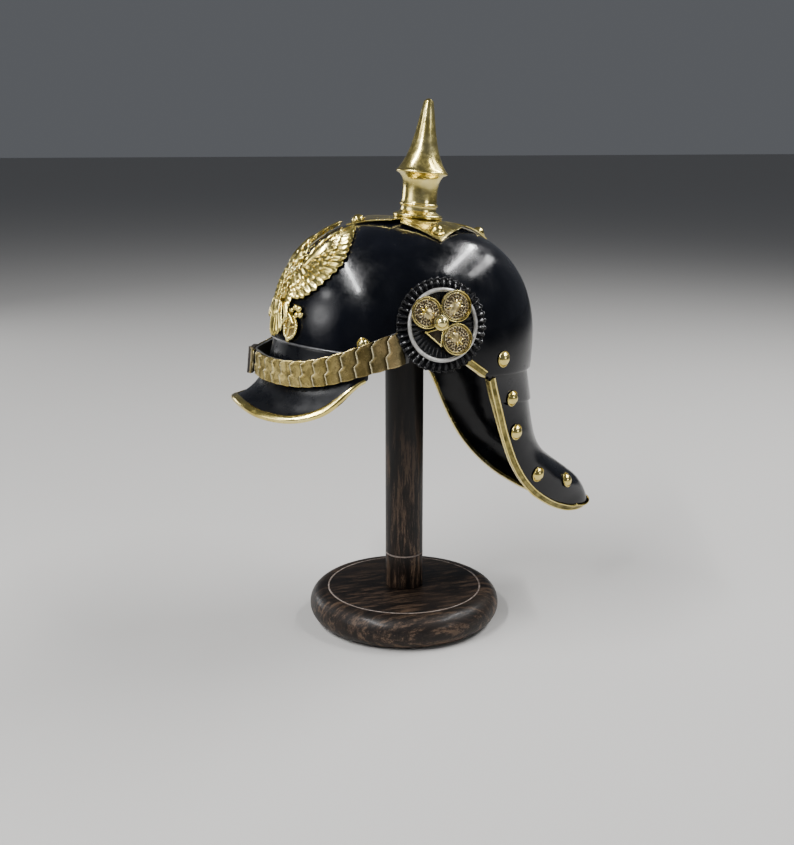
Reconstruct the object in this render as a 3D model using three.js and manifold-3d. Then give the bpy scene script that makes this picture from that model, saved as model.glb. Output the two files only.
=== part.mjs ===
// A spiked dress helmet resting on a turned wooden stand.
// Millimetres, +Z up. The front of the helmet faces -Y and the wearer's left is +X.
// The origin is the centre of the stand's underside.
import * as THREE from 'three';
import * as BufferGeometryUtils from 'three/addons/utils/BufferGeometryUtils.js';
import Module from 'manifold-3d';

const wasm = await Module();
wasm.setup();

// ---------------------------------------------------------------- driving sizes

const GAP = 0.35; // clearance between pieces that touch on the real helmet

const STAND = {
  baseRadius: 88,
  baseThickness: 30.6,
  grooveRadius: 71,
  grooveDepth: 1.2,
  postRadius: 17.2,
  postGrooveHeight: 60,
  capRadius: 34,
  capThickness: 17,
  capDomeRadius: 60,
  capTop: 363.2,
};

const HELMET = {
  rimHeight: 250, // height of the dome's rim centre over the table
  tilt: THREE.MathUtils.degToRad(5.8), // the helmet leans back on the stand
};

// The dome is an ellipse in plan, and a superellipse in elevation.
const DOME = { front: 118, rear: 116, side: 95, height: 116, power: 2.5, wall: 2.2 };

// Rows of the dome's faces in degrees of climb, from the rim to the crown.
const CLIMBS = [0, 6, 16, 27, 38, 49, 59, 68, 77, 90];
const FRONT_STEP = 98.5 / 14; // degrees of heading between the dome's columns

// The rim: level at the front and sides, then down to the corners of the neck guard.
const RIM = { front: 8, corner: -5.4, rear: -2, bendHeading: 98.5, cornerHeading: 110.5 };

const LEATHER = 2; // front peak, chin strap
const PLATE = 1.5; // the two plates of the neck guard
const BRASS = 0.9; // folded edgings

// The peak drops from the rim and then runs out: its bend lies at these shares of the way
// out and down. Towards the ends of the peak the bend opens to a straight line.
const PEAK = { lip: 0.06, drop: 0.8, openFrom: 2.8, trimWidth: 5.2, trimLead: 5, trimEnd: 0.35, steps: 20 };

// Half of the front peak, from its middle to its end: heading of the root on the rim,
// and the point of the outer edge. The first and last rows only steer the curve.
const PEAK_EDGE = [
  // heading, x, y, z
  [-9, -20, -147.1, -48.8],
  [0, 0, -149.5, -47.2],
  [9, 20, -147.1, -48.8],
  [19.5, 40, -139.3, -51.5],
  [31.5, 58.5, -125.4, -51.6],
  [40, 70, -110.7, -48.5],
  [46, 77, -96.1, -41.8],
  [50.5, 80.3, -84.5, -32.6],
  [53.5, 81.3, -76, -24.2],
  [56.5, 81, -67.5, -16.5],
  [59, 80, -60.5, -12],
  [61.5, 78, -53, -4],
];

// The neck guard, from the seam under the dome to the tip of the tail: the point on the centre
// line, the point on the side edge, and half the angle that the arched section sweeps.
// The first and last rows only steer the curve.
const NECK = [
  // centre y, centre z, edge x, edge y, edge z, half angle
  [111, 13, 89, 36, 7, 66.4],
  [112.7, -2, 84.4, 45, -5.2, 66.4],
  [117, -17, 79.5, 50.7, -15.8, 70],
  [121.5, -33, 75, 57.6, -28.8, 74],
  [124.5, -48, 71, 64.4, -42.3, 78],
  [127, -60, 68, 70.8, -55.9, 82],
  [132, -71.5, 65, 78, -69.5, 85],
  [140, -81.5, 61.5, 85.6, -82.3, 86],
  [150.5, -89.5, 57.5, 94.4, -94, 86],
  [163, -97, 51.5, 106.5, -106.8, 86],
  [175.5, -104.5, 45, 120.8, -118.2, 86],
  [186, -111.5, 38, 136, -127, 86],
  [194.5, -120.2, 30, 153, -134.8, 86],
  [200.3, -129.3, 23, 171.5, -139.8, 86],
  [202.6, -135.3, 14.5, 190, -140.3, 86],
  [203, -138, 0, 203, -138, 86],
  [202, -139, -14.5, 190, -140.3, 86],
];
const NECK_STEPS = NECK.length - 3; // stations from the first seam to the tip
const NECK_SEAM = 2; // station of the seam between the two plates
const NECK_TRIM = { width: 5, lead: 2.5, start: 0.25, outer: 1.4, inner: 6.4 };

// The chin strap stands off the dome at the front and closes on it under the cockades.
const STRAP = { front: 131, side: 96.2, end: 76 };
const STRAP_LINE = [
  // heading, height of the middle, half the height of the band
  [-12, -15, 9.9],
  [0, -13.6, 9.8],
  [12, -15, 9.9],
  [24, -15, 10.2],
  [36, -12.8, 10.8],
  [48, -6, 12],
  [60, 4.8, 13],
  [72, 16.4, 14.2],
  [84, 28, 15.4],
];
const SCALES = { count: 13, first: 2.2, last: 73.5, metal: 0.9, overlap: 3, rise: 0.75, seat: 0.25 };

const COCKADE = {
  centre: new THREE.Vector3(96.1, -8.3, 37.6),
  heading: 88,
  lean: 8,
  radius: 38.7,
  thickness: 4,
  ribs: 36,
  ringOuter: 30,
  ringInner: 26.8,
  hubRadius: 8,
};

// The trefoil sits a little off the cockade's middle. Places are (rearwards, up) from it.
const TREFOIL = {
  lobes: [[-15.1, 9], [9.5, 15.7], [11.7, -10.6]],
  leaf: [[-16.5, -6.5], [-1.5, -17.5], [0, -1]],
  boss: [-3.4, 1.8],
  lobeRadius: 12.9,
  thickness: 2.2,
  rim: 0.9,
};
const TREFOIL_HEART = [[-10, 0], [0, -8], [6, -2], [4, 8], [-8, 9]]; // joins the lobes under the boss

// Half of the eagle in front elevation, from the top of the head round to the tail.
const EAGLE = [
  // x, z
  [0, 85],
  [7, 82],
  [12.7, 76],
  [12, 70],
  [17, 66],
  [14.5, 76],
  [11, 84.5],
  [12.4, 90],
  [18.5, 94],
  [15, 104],
  [23.5, 104],
  [36.5, 97],
  [38, 90.5],
  [44, 86],
  [43.5, 80],
  [49, 73],
  [47.5, 64],
  [44.5, 58],
  [44, 53],
  [35, 45],
  [23.5, 46.5],
  [21, 35.5],
  [32, 38],
  [37.5, 31],
  [34.5, 16],
  [27.5, 10.3],
  [17.5, 14],
  [6.5, 37],
  [14, 15.5],
  [7, 11],
];

// One quarter of the cross plate in plan, from the left arm's tip round to the rear arm's.
const CROSS_ARM = { side: 59, front: 64, rear: 68, shoulderReach: 34, shoulderWidth: 28, inner: 23 };

const PLATE_LIFT = 0.6; // clearance of the eagle and the cross over the dome

// ---------------------------------------------------------------- materials

const finish = (color, roughness, metalness) =>
  new THREE.MeshStandardMaterial({ color, roughness, metalness });
const lacquer = finish(0x12161d, 0.15, 0);
const brass = finish(0xc9ac62, 0.25, 1);
const agedBrass = finish(0x8f7a45, 0.4, 1);
const silver = finish(0xc6c4be, 0.35, 1);
const cloth = finish(0x15161a, 0.5, 0);
const leather = finish(0x24211f, 0.6, 0);
const wood = finish(0x2b1c14, 0.35, 0);

// ---------------------------------------------------------------- solids

const rad = THREE.MathUtils.degToRad;
const steps = (from, to, count) =>
  Array.from({ length: count + 1 }, (_, i) => from + ((to - from) * i) / count);

/** Volume inside an indexed geometry, negative when its faces look inwards. */
function signedVolume(position, index) {
  const [a, b, c] = [0, 1, 2].map(() => new THREE.Vector3());
  let volume = 0;
  for (let i = 0; i < index.length; i += 3) {
    a.fromBufferAttribute(position, index[i]);
    b.fromBufferAttribute(position, index[i + 1]);
    c.fromBufferAttribute(position, index[i + 2]);
    volume += a.dot(b.cross(c)) / 6;
  }
  return volume;
}

/** Welds a geometry into one closed shell of shared vertices with its faces outwards. */
function welded(geometry) {
  const bare = new THREE.BufferGeometry();
  bare.setAttribute('position', geometry.getAttribute('position').clone());
  if (geometry.index) bare.setIndex(geometry.index.clone());
  const merged = BufferGeometryUtils.mergeVertices(bare, 1e-3);
  const corners = Array.from(merged.index.array);
  const kept = [];
  for (let i = 0; i < corners.length; i += 3) {
    const [a, b, c] = corners.slice(i, i + 3);
    if (a !== b && b !== c && c !== a) kept.push(a, b, c);
  }
  const outward = signedVolume(merged.getAttribute('position'), kept) > 0;
  merged.setIndex(outward ? kept : kept.reverse());
  merged.computeVertexNormals();
  return merged;
}

function fromTriangles(points) {
  return welded(new THREE.BufferGeometry().setFromPoints(points));
}

/**
 * A closed sheet with two faces, outer(u, v) and inner(u, v), over a grid of values.
 * With wraps the last column meets the first, as on the dome.
 */
function sheet(us, vs, outer, inner, wraps = false) {
  const triangles = [];
  const quad = (a, b, c, d) => triangles.push(a, b, c, a, c, d);
  const [front, back] = [outer, inner].map((face) => us.map((u) => vs.map((v) => face(u, v))));
  const last = us.length - 1;
  const top = vs.length - 1;
  for (let i = 0; i < last; i++) {
    for (let j = 0; j < top; j++) {
      quad(front[i][j], front[i + 1][j], front[i + 1][j + 1], front[i][j + 1]);
      quad(back[i][j], back[i][j + 1], back[i + 1][j + 1], back[i + 1][j]);
    }
    quad(front[i][0], back[i][0], back[i + 1][0], front[i + 1][0]);
    quad(front[i][top], front[i + 1][top], back[i + 1][top], back[i][top]);
  }
  for (let j = 0; j < top && !wraps; j++) {
    quad(front[0][j], front[0][j + 1], back[0][j + 1], back[0][j]);
    quad(front[last][j], back[last][j], back[last][j + 1], front[last][j + 1]);
  }
  return fromTriangles(triangles);
}

/** Sweeps a flat outline through frames of { origin, across, outward }, with flat ends. */
function sweep(frames, outline) {
  const rings = frames.map(({ origin, across, outward }) =>
    outline.map(([a, b]) =>
      origin.clone().addScaledVector(across, a).addScaledVector(outward, b)));
  const triangles = [];
  for (let i = 0; i + 1 < rings.length; i++) {
    outline.forEach((_, j) => {
      const k = (j + 1) % outline.length;
      const [a, b, c, d] = [rings[i][j], rings[i][k], rings[i + 1][k], rings[i + 1][j]];
      triangles.push(a, b, c, a, c, d);
    });
  }
  const contour = outline.map(([a, b]) => new THREE.Vector2(a, b));
  for (const [a, b, c] of THREE.ShapeUtils.triangulateShape(contour, [])) {
    const end = rings.at(-1);
    triangles.push(rings[0][c], rings[0][b], rings[0][a]);
    triangles.push(end[a], end[b], end[c]);
  }
  return fromTriangles(triangles);
}

/** A turned solid about Z from [radius, height] pairs that start and end on the axis. */
function turned(profile, segments) {
  const points = profile.map(([radius, height]) => new THREE.Vector2(radius, height));
  return new THREE.LatheGeometry(points, segments).rotateX(Math.PI / 2);
}

/** The outline of an edging folded over a sheet: across runs into the sheet from its edge. */
function foldOutline(width, outer, inner, edge = GAP) {
  return [
    [width, outer],
    [width, outer + BRASS],
    [-edge - BRASS, outer + BRASS],
    [-edge - BRASS, -inner - BRASS],
    [width, -inner - BRASS],
    [width, -inner],
    [-edge, -inner],
    [-edge, outer],
  ];
}

function mirrored(geometry) {
  const copy = geometry.clone();
  const position = copy.getAttribute('position');
  for (let i = 0; i < position.count; i++) position.setX(i, -position.getX(i));
  return welded(copy);
}

function toManifold(geometry) {
  const closed = welded(geometry);
  return new wasm.Manifold(new wasm.Mesh({
    numProp: 3,
    vertProperties: Float32Array.from(closed.getAttribute('position').array),
    triVerts: Uint32Array.from(closed.index.array),
  }));
}

function fromManifold(manifold) {
  const mesh = manifold.getMesh();
  const geometry = new THREE.BufferGeometry();
  geometry.setAttribute('position', new THREE.BufferAttribute(mesh.vertProperties, 3));
  geometry.setIndex(new THREE.BufferAttribute(mesh.triVerts, 1));
  return welded(geometry);
}

const common = (a, b) => fromManifold(toManifold(a).intersect(toManifold(b)));
const joined = (parts) => fromManifold(wasm.Manifold.union(parts.map(toManifold)));

/** A smooth row of a table at a station. Station 0 is the second row. */
function rowAt(table, station) {
  const cell = Math.min(Math.max(Math.floor(station), 0), table.length - 4);
  const t = station - cell;
  const [a, b, c, d] = table.slice(cell, cell + 4);
  return b.map((value, i) => {
    const slopeIn = (c[i] - a[i]) / 2;
    const slopeOut = (d[i] - value) / 2;
    const bend = 3 * (c[i] - value) - 2 * slopeIn - slopeOut;
    const twist = 2 * (value - c[i]) + slopeIn + slopeOut;
    return value + t * (slopeIn + t * (bend + t * twist));
  });
}

/** Stands a solid that was made about Z on a point, with its Z along a normal and Y upwards. */
function stand(geometry, point, normal, up = new THREE.Vector3(0, 0, 1)) {
  const x = up.clone().cross(normal).normalize();
  const y = normal.clone().cross(x);
  const basis = new THREE.Matrix4().makeBasis(x, y, normal).setPosition(point);
  return geometry.clone().applyMatrix4(basis);
}

// ---------------------------------------------------------------- the dome and its curves

/** The dome's plan radius factor at a height. */
const ringAt = (z, height) => (1 - Math.max(z / height, 0) ** DOME.power) ** (1 / DOME.power);

/** A point of the dome at a heading (degrees, 0 front, 90 left) and a height. */
function domeAt(heading, z, offset) {
  const angle = rad(heading);
  const ring = ringAt(z, DOME.height + offset);
  const length = (Math.cos(angle) > 0 ? DOME.front : DOME.rear) + offset;
  const width = DOME.side + offset;
  return new THREE.Vector3(width * ring * Math.sin(angle), -length * ring * Math.cos(angle), z);
}

/** The dome's height over a point in plan. */
function domeTop(x, y, offset) {
  const length = (y < 0 ? DOME.front : DOME.rear) + offset;
  const reach = Math.hypot(x / (DOME.side + offset), y / length);
  return (DOME.height + offset) * (1 - reach ** DOME.power) ** (1 / DOME.power);
}

function normalOf(face, u, v, du, dv) {
  const along = face(u + du, v).sub(face(u - du, v));
  const across = face(u, v + dv).sub(face(u, v - dv));
  return along.cross(across).normalize();
}

/** The height of the shell's lower edge at a heading. */
function rimHeight(heading) {
  const turn = Math.abs(heading > 180 ? heading - 360 : heading);
  const { bendHeading, cornerHeading, front, corner, rear } = RIM;
  if (turn <= bendHeading) return front;
  if (turn <= cornerHeading) {
    return THREE.MathUtils.mapLinear(turn, bendHeading, cornerHeading, front, corner);
  }
  return THREE.MathUtils.mapLinear(turn, cornerHeading, 180, corner, rear);
}

// ---------------------------------------------------------------- the stand

function standBase() {
  const { baseRadius, baseThickness, grooveRadius, grooveDepth } = STAND;
  const round = baseThickness / 2;
  const edge = steps(-90, 90, 6).map((angle) => [
    baseRadius - round + round * Math.cos(rad(angle)),
    round + round * Math.sin(rad(angle)),
  ]);
  const groove = [
    [grooveRadius + 0.9, baseThickness],
    [grooveRadius, baseThickness - grooveDepth],
    [grooveRadius - 0.9, baseThickness],
  ];
  return turned([[0, 0], ...edge, ...groove, [0, baseThickness]], 30);
}

function standPost() {
  const { baseThickness, postRadius, postGrooveHeight, capTop, capThickness } = STAND;
  const bottom = baseThickness + GAP;
  const top = capTop - capThickness - GAP;
  return turned([
    [0, bottom],
    [postRadius, bottom],
    [postRadius, postGrooveHeight - 1],
    [postRadius - 0.9, postGrooveHeight],
    [postRadius, postGrooveHeight + 1],
    [postRadius, top],
    [0, top],
  ], 20);
}

/** The hidden cap that the crown rests on. */
function standCap() {
  const { capTop, capThickness, capRadius, capDomeRadius } = STAND;
  const reach = Math.asin(capRadius / capDomeRadius);
  const crown = steps(reach, 0, 4).map((angle) => [
    capDomeRadius * Math.sin(angle),
    capTop - capDomeRadius * (1 - Math.cos(angle)),
  ]);
  const bottom = capTop - capThickness;
  return turned([[0, bottom], [capRadius - 8, bottom], ...crown], 20);
}

// ---------------------------------------------------------------- shell and peak

function shell() {
  const { bendHeading, cornerHeading } = RIM;
  const half = [
    ...steps(0, bendHeading, Math.round(bendHeading / FRONT_STEP)),
    ...steps(bendHeading, cornerHeading, 3).slice(1),
    ...steps(cornerHeading, 180, 9).slice(1),
  ];
  const headings = [...half, ...half.slice(0, -1).reverse().map((heading) => 360 - heading)];
  const face = (offset) => (heading, climb) => {
    const low = rimHeight(heading);
    const height = (DOME.height + offset) * Math.sin(rad(climb)) ** (2 / DOME.power);
    return domeAt(heading, climb === 0 ? low : height, offset);
  };
  return sheet(headings, CLIMBS, face(0), face(-DOME.wall), true);
}

const peakReach = PEAK_EDGE.length - 3;

/** The middle of the peak's wall: along runs in table stations, out from root to edge. */
function peakPoint(along, out) {
  const [heading, x, y, z] = rowAt(PEAK_EDGE, Math.abs(along));
  const side = Math.sign(along) || 1;
  const root = domeAt(side * heading, RIM.front - 1.5 * GAP, -DOME.wall / 2);
  const edge = new THREE.Vector3(side * x, y, z);
  const open = THREE.MathUtils.smoothstep(Math.abs(along), PEAK.openFrom, peakReach);
  const bend = root.clone().lerp(edge, THREE.MathUtils.lerp(PEAK.lip, 0.5, open));
  bend.z = THREE.MathUtils.lerp(root.z, edge.z, THREE.MathUtils.lerp(PEAK.drop, 0.5, open));
  return root.multiplyScalar((1 - out) ** 2)
    .addScaledVector(bend, 2 * out * (1 - out))
    .addScaledVector(edge, out ** 2);
}

const peakNormal = (along, out) => {
  const inside = Math.min(Math.max(along, 0.02 - peakReach), peakReach - 0.02);
  const level = Math.min(Math.max(out, 0.02), 0.98);
  return normalOf(peakPoint, inside, level, 0.02, 0.02).negate();
};
const peakFace = (offset) => (along, out) =>
  peakPoint(along, out).addScaledVector(peakNormal(along, out), offset);

function frontPeak() {
  const half = LEATHER / 2;
  const along = steps(-peakReach, peakReach, PEAK.steps);
  return sheet(along, steps(0, 1, 5), peakFace(half), peakFace(-half));
}

function frontPeakTrim() {
  const end = peakReach - PEAK.trimEnd;
  const middle = steps(-peakReach, peakReach, PEAK.steps).slice(1, -1);
  const frames = [-end, ...middle, end].map((along) => {
    const origin = peakPoint(along, 1);
    const length = origin.distanceTo(peakPoint(along, 0));
    const inside = peakPoint(along, 1 - PEAK.trimLead / length).sub(origin);
    const ahead = peakPoint(Math.min(along + 0.05, peakReach), 1);
    const tangent = ahead.sub(peakPoint(Math.max(along - 0.05, -peakReach), 1)).normalize();
    const outward = tangent.clone().cross(inside).normalize();
    return { origin, across: outward.clone().cross(tangent), outward };
  });
  const side = LEATHER / 2 + 1.35;
  return sweep(frames, foldOutline(PEAK.trimWidth, side, side, 2 * GAP));
}

// ---------------------------------------------------------------- neck guard

// Rows of the tail's faces, closer together where its edge turns round the tip.
const TAIL_STATIONS = [
  ...steps(NECK_SEAM, NECK_STEPS - 2, NECK_STEPS - 2 - NECK_SEAM),
  ...[1.5, 1, 0.7, 0.4, 0.15, 0].map((rest) => NECK_STEPS - rest),
];

/** The outer face of the neck guard at a station, across from -1 (right) to 1 (left). */
function neckPoint(station, across) {
  const above = Math.min(station, 0);
  const [centreY, centreZ, edgeX, edgeY, edgeZ, halfAngle] = rowAt(NECK, station - above);
  const limit = rad(halfAngle);
  const swing = across * limit;
  const arch = (Math.cos(swing) - Math.cos(limit)) / (1 - Math.cos(limit));
  return new THREE.Vector3(
    (edgeX * Math.sin(swing)) / Math.sin(limit),
    THREE.MathUtils.lerp(edgeY, centreY, arch),
    THREE.MathUtils.lerp(edgeZ, centreZ, arch) - above * 16,
  );
}

const neckNormal = (station, across) => {
  const inside = Math.min(station, NECK_STEPS - 0.06);
  const level = Math.min(Math.max(across, -0.98), 0.98);
  return normalOf(neckPoint, inside, level, 0.05, 0.02).negate();
};

/** How far the tail tucks in under the plate above it. */
function tuck(station) {
  const reach = THREE.MathUtils.clamp((station - NECK_SEAM) / 2, 0, 1);
  return (PLATE + 1.5 * GAP) * (1 - reach);
}

const neckFace = (inset, depth) => (station, across) =>
  neckPoint(station, across)
    .addScaledVector(neckNormal(station, across), -inset(station) - depth);

function neckPlate(stations, inset) {
  return sheet(stations, steps(-1, 1, 12), neckFace(inset, 0), neckFace(inset, PLATE));
}

/** A step over the guard's surface from its edge, square to the edge and as long as the lead. */
function straightInward(station, across, along) {
  const origin = neckPoint(station, across);
  const miss = (step) =>
    Math.abs(step.length() - NECK_TRIM.lead) + 2 * Math.abs(step.dot(along));
  const reach = steps(0, 1.5, 30).flatMap((back) =>
    steps(0, 1, 50).map((share) => neckPoint(station - back, across * share).sub(origin)));
  return reach.reduce((best, step) => (miss(step) < miss(best) ? step : best));
}

function neckTrim() {
  const reach = [NECK_TRIM.start, 1, ...TAIL_STATIONS];
  const stops = [
    ...reach.map((station) => [station, -1]),
    ...reach.slice(0, -1).reverse().map((station) => [station, 1]),
  ];
  const points = stops.map(([station, across]) => neckPoint(station, across));
  const frames = points.map((origin, i) => {
    const [station, across] = stops[i];
    const ahead = points[Math.min(i + 1, points.length - 1)];
    const along = ahead.clone().sub(points[Math.max(i - 1, 0)]).normalize();
    const outward = straightInward(station, across, along).cross(along).normalize();
    return { origin, across: along.clone().cross(outward), outward };
  });
  return sweep(frames, foldOutline(NECK_TRIM.width, NECK_TRIM.outer, NECK_TRIM.inner, 2 * GAP));
}

/** The short edging on the shell's rim in front of the neck guard, on the left side. */
function sideTrim() {
  const frames = steps(99.5, 109, 5).map((heading) => {
    const rim = (turn) => domeAt(turn, rimHeight(turn), 0);
    const along = rim(heading + 0.5).sub(rim(heading - 0.5)).normalize();
    const outward = domeAt(heading, 0, 1).sub(domeAt(heading, 0, 0)).normalize();
    return { origin: rim(heading), across: outward.clone().cross(along), outward };
  });
  return sweep(frames, foldOutline(NECK_TRIM.width, 1.5 * GAP, DOME.wall + 3 * GAP));
}

// ---------------------------------------------------------------- chin strap

const strapRow = (heading) => rowAt(STRAP_LINE, Math.abs(heading) / 12);

/** A point of the strap: heading, share of the half height from its middle, and offset. */
function strapPoint(heading, level, offset) {
  const [, middle, half] = strapRow(heading);
  const angle = rad(heading);
  return new THREE.Vector3(
    (STRAP.side + offset) * Math.sin(angle),
    -(STRAP.front + offset) * Math.cos(angle),
    middle + level * half,
  );
}

function chinStrap() {
  const face = (offset) => (heading, level) => strapPoint(heading, level, offset);
  return sheet(steps(-STRAP.end, STRAP.end, 24), [-1, 1], face(LEATHER), face(0));
}

/** One scale with a two-lobed free edge towards +X. Its lower edge is towards +Y. */
function scaleBlank(length, height) {
  const half = height / 2;
  const back = -SCALES.overlap;
  const outline = [
    [back, 0.5 - half], [length - 2.5, 0.5 - half], [length + 0.6, -half * 0.5],
    [length - 1.8, 0], [length + 0.6, half * 0.5], [length - 2.5, half + 0.6],
    [back, half - 0.5],
  ].map(([x, y]) => new THREE.Vector2(x, y));
  const options = { depth: SCALES.metal, bevelEnabled: false };
  return new THREE.ExtrudeGeometry(new THREE.Shape(outline), options);
}

/** The row of overlapping scales on the left half of the strap, joined into one body. */
function chinScales() {
  const turns = steps(SCALES.last, SCALES.first, SCALES.count);
  const offset = LEATHER + GAP;
  return joined(turns.slice(0, -1).map((heading, i) => {
    const start = strapPoint(heading, 0, offset);
    const end = strapPoint(turns[i + 1], 0, offset);
    const along = end.clone().sub(start);
    const length = along.length();
    along.normalize();
    const middle = (heading + turns[i + 1]) / 2;
    const drop = strapPoint(middle, -1, offset).sub(strapPoint(middle, 1, offset));
    const outward = along.clone().cross(drop).normalize();
    const down = outward.clone().cross(along);
    const lift = Math.atan2(SCALES.rise, length);
    const basis = new THREE.Matrix4()
      .makeBasis(along, down, outward)
      .setPosition(start.addScaledVector(outward, SCALES.seat));
    return scaleBlank(length, drop.dot(down)).rotateY(-lift).applyMatrix4(basis);
  }));
}

// ---------------------------------------------------------------- cockade and trefoil

const cockadeNormal = new THREE.Vector3().setFromSphericalCoords(
  1, rad(90 - COCKADE.lean), rad(COCKADE.heading));
cockadeNormal.set(cockadeNormal.x, -cockadeNormal.z, cockadeNormal.y);

/** Puts a solid on the left cockade, at a height over its back plane. */
function onCockade(geometry, height) {
  const point = COCKADE.centre.clone().addScaledVector(cockadeNormal, height);
  return stand(geometry, point, cockadeNormal);
}

/** The pleated disc: every second column of its rim is drawn in to make the pleats. */
function cockade() {
  const { radius, thickness, ribs, hubRadius } = COCKADE;
  const hubDepth = COCKADE.centre.x - domeAt(90, COCKADE.centre.z, 0).x - 1.6;
  const geometry = turned([
    [0, -hubDepth],
    [hubRadius, -hubDepth],
    [hubRadius, 0],
    [radius, 0.8],
    [radius - 2, thickness],
    [0, thickness],
  ], 2 * ribs);
  const position = geometry.getAttribute('position');
  const spot = new THREE.Vector3();
  for (let i = 0; i < position.count; i++) {
    spot.fromBufferAttribute(position, i);
    const column = Math.round((Math.atan2(spot.y, spot.x) / Math.PI) * ribs);
    const reach = Math.hypot(spot.x, spot.y);
    if (column % 2 === 0 || reach < radius / 2) continue;
    const depth = spot.z > thickness - 0.5 ? 1.4 : 0;
    position.setXYZ(i, spot.x * 0.97, spot.y * 0.97, spot.z - depth);
  }
  return geometry;
}

function cockadeRing() {
  const { ringOuter, ringInner } = COCKADE;
  return turned([
    [ringInner, 0],
    [ringOuter, 0],
    [ringOuter - 0.8, 1.4],
    [ringInner + 0.8, 1.4],
    [ringInner, 0],
  ], 22);
}

/** Three round lobes and a small three-cornered leaf, joined. */
function trefoil() {
  const { lobes, leaf, lobeRadius, thickness, rim } = TREFOIL;
  const lobe = turned([
    [0, 0],
    [lobeRadius, 0],
    [lobeRadius, thickness + rim],
    [lobeRadius - 2.2, thickness],
    [0, thickness],
  ], 12);
  const rounds = lobes.map(([x, y]) => lobe.clone().translate(x, y, 0));
  return joined([...rounds, prism(leaf, thickness - 0.2), prism(TREFOIL_HEART, thickness)]);
}

const trefoilBoss = () => turned([
  [0, 0], [6.4, 0], [6.4, 0.9], [5.2, 1.2], [4.6, 3.4], [2.6, 5.2], [0, 5.8],
], 8);

// ---------------------------------------------------------------- plates on the dome

/** A curved slab that lies on the dome, for a plate to be cut from. */
function domeSlab(headings, climbs, thickness, wraps = false) {
  const face = (offset) => (heading, climb) =>
    domeAt(heading, (DOME.height + offset) * Math.sin(rad(climb)) ** (2 / DOME.power), offset);
  return sheet(headings, climbs, face(PLATE_LIFT + thickness), face(PLATE_LIFT), wraps);
}

function prism(outline, depth) {
  const shape = new THREE.Shape(outline.map(([x, y]) => new THREE.Vector2(x, y)));
  return new THREE.ExtrudeGeometry(shape, { depth, bevelEnabled: false });
}

function eaglePlate() {
  const slab = domeSlab(steps(-6 * FRONT_STEP, 6 * FRONT_STEP, 12), CLIMBS.slice(0, -1), 1.8);
  const other = EAGLE.slice(1).reverse().map(([x, z]) => [-x, z]);
  const cutter = prism([...EAGLE, ...other], DOME.front + 20).rotateX(Math.PI / 2);
  return common(slab, cutter);
}

/** The height of the cross over a point in plan: each arm bends along its length alone. */
function crossTop(x, y) {
  const share = THREE.MathUtils.smoothstep(Math.abs(x) - Math.abs(y), -12, 12);
  return THREE.MathUtils.lerp(domeTop(0, y, 0), domeTop(x, 0, 0), share);
}

function crossPlate() {
  const { side, front, rear, shoulderReach, shoulderWidth, inner } = CROSS_ARM;
  const face = (lift) => (x, y) => new THREE.Vector3(x, y, crossTop(x, y) + lift);
  const half = [11.5, inner, shoulderReach, 46.5];
  const xs = [-side - 1, ...half.map((x) => -x).reverse(), 0, ...half, side + 1];
  const ys = [-front - 1, -57, ...half.map((y) => -y).reverse(), 0, ...half, 57, rear + 1];
  const slab = sheet(xs, ys, face(PLATE_LIFT + 1.4), face(PLATE_LIFT));
  const quarter = [[shoulderReach, shoulderWidth], [inner, inner], [shoulderWidth, shoulderReach]];
  const back = quarter.slice().reverse();
  const upper = [[side, 0], ...quarter, [0, rear], ...back.map(([x, y]) => [-x, y])];
  const lower = [[-side, 0], ...quarter.map(([x, y]) => [-x, -y]), [0, -front],
    ...back.map(([x, y]) => [x, -y])];
  return common(slab, prism([...upper, ...lower], DOME.height + 20));
}

const dome = (radius, height) => turned([
  [0, 0], [radius, 0], [radius * 0.86, height * 0.55], [radius * 0.5, height * 0.9], [0, height],
], 8);

// ---------------------------------------------------------------- spike

function spike() {
  const seat = DOME.height + PLATE_LIFT + 1.4 + GAP;
  const crown = DOME.height;
  return turned([
    [0, seat],
    [21.2, seat - 0.2],
    [21.4, crown + 4],
    [20, crown + 5.6],
    [15.5, crown + 7.4],
    [15.5, crown + 11],
    [16.6, crown + 13],
    [15.3, crown + 17],
    [15.2, crown + 26],
    [15.8, crown + 33.5],
    [18.2, crown + 37],
    [22.3, crown + 40],
    [21.6, crown + 42.2],
    [16.1, crown + 50.6],
    [10.4, crown + 67.6],
    [6.4, crown + 88],
    [4.3, crown + 99.5],
    [2.4, crown + 101.4],
    [0, crown + 102],
  ], 16);
}

// ---------------------------------------------------------------- assembly

const model = new THREE.Group();
const helmet = new THREE.Group();
helmet.position.z = HELMET.rimHeight;
helmet.rotation.x = -HELMET.tilt;
model.add(helmet);

function add(parent, name, geometry, material) {
  const mesh = new THREE.Mesh(welded(geometry), material);
  mesh.name = name;
  parent.add(mesh);
}

/** Adds a piece made for the wearer's left, and its mirrored twin on the right. */
function addPair(name, geometry, material) {
  add(helmet, `${name}_left`, geometry, material);
  add(helmet, `${name}_right`, mirrored(geometry), material);
}

add(model, 'stand_base', standBase(), wood);
add(model, 'stand_post', standPost(), wood);
add(model, 'stand_cap', standCap(), wood);

add(helmet, 'shell', shell(), lacquer);
add(helmet, 'front_peak', frontPeak(), lacquer);
add(helmet, 'front_peak_trim', frontPeakTrim(), brass);
const level = () => 0;
add(helmet, 'neck_lame', neckPlate([-0.45, ...steps(0, NECK_SEAM, 3)], level), lacquer);
add(helmet, 'neck_tail', neckPlate([NECK_SEAM - 0.9, ...TAIL_STATIONS], tuck), lacquer);
add(helmet, 'neck_trim', neckTrim(), brass);
addPair('side_trim', sideTrim(), brass);

add(helmet, 'eagle_plate', eaglePlate(), brass);
add(helmet, 'cross_plate', crossPlate(), brass);
add(helmet, 'spike', spike(), brass);

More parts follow.
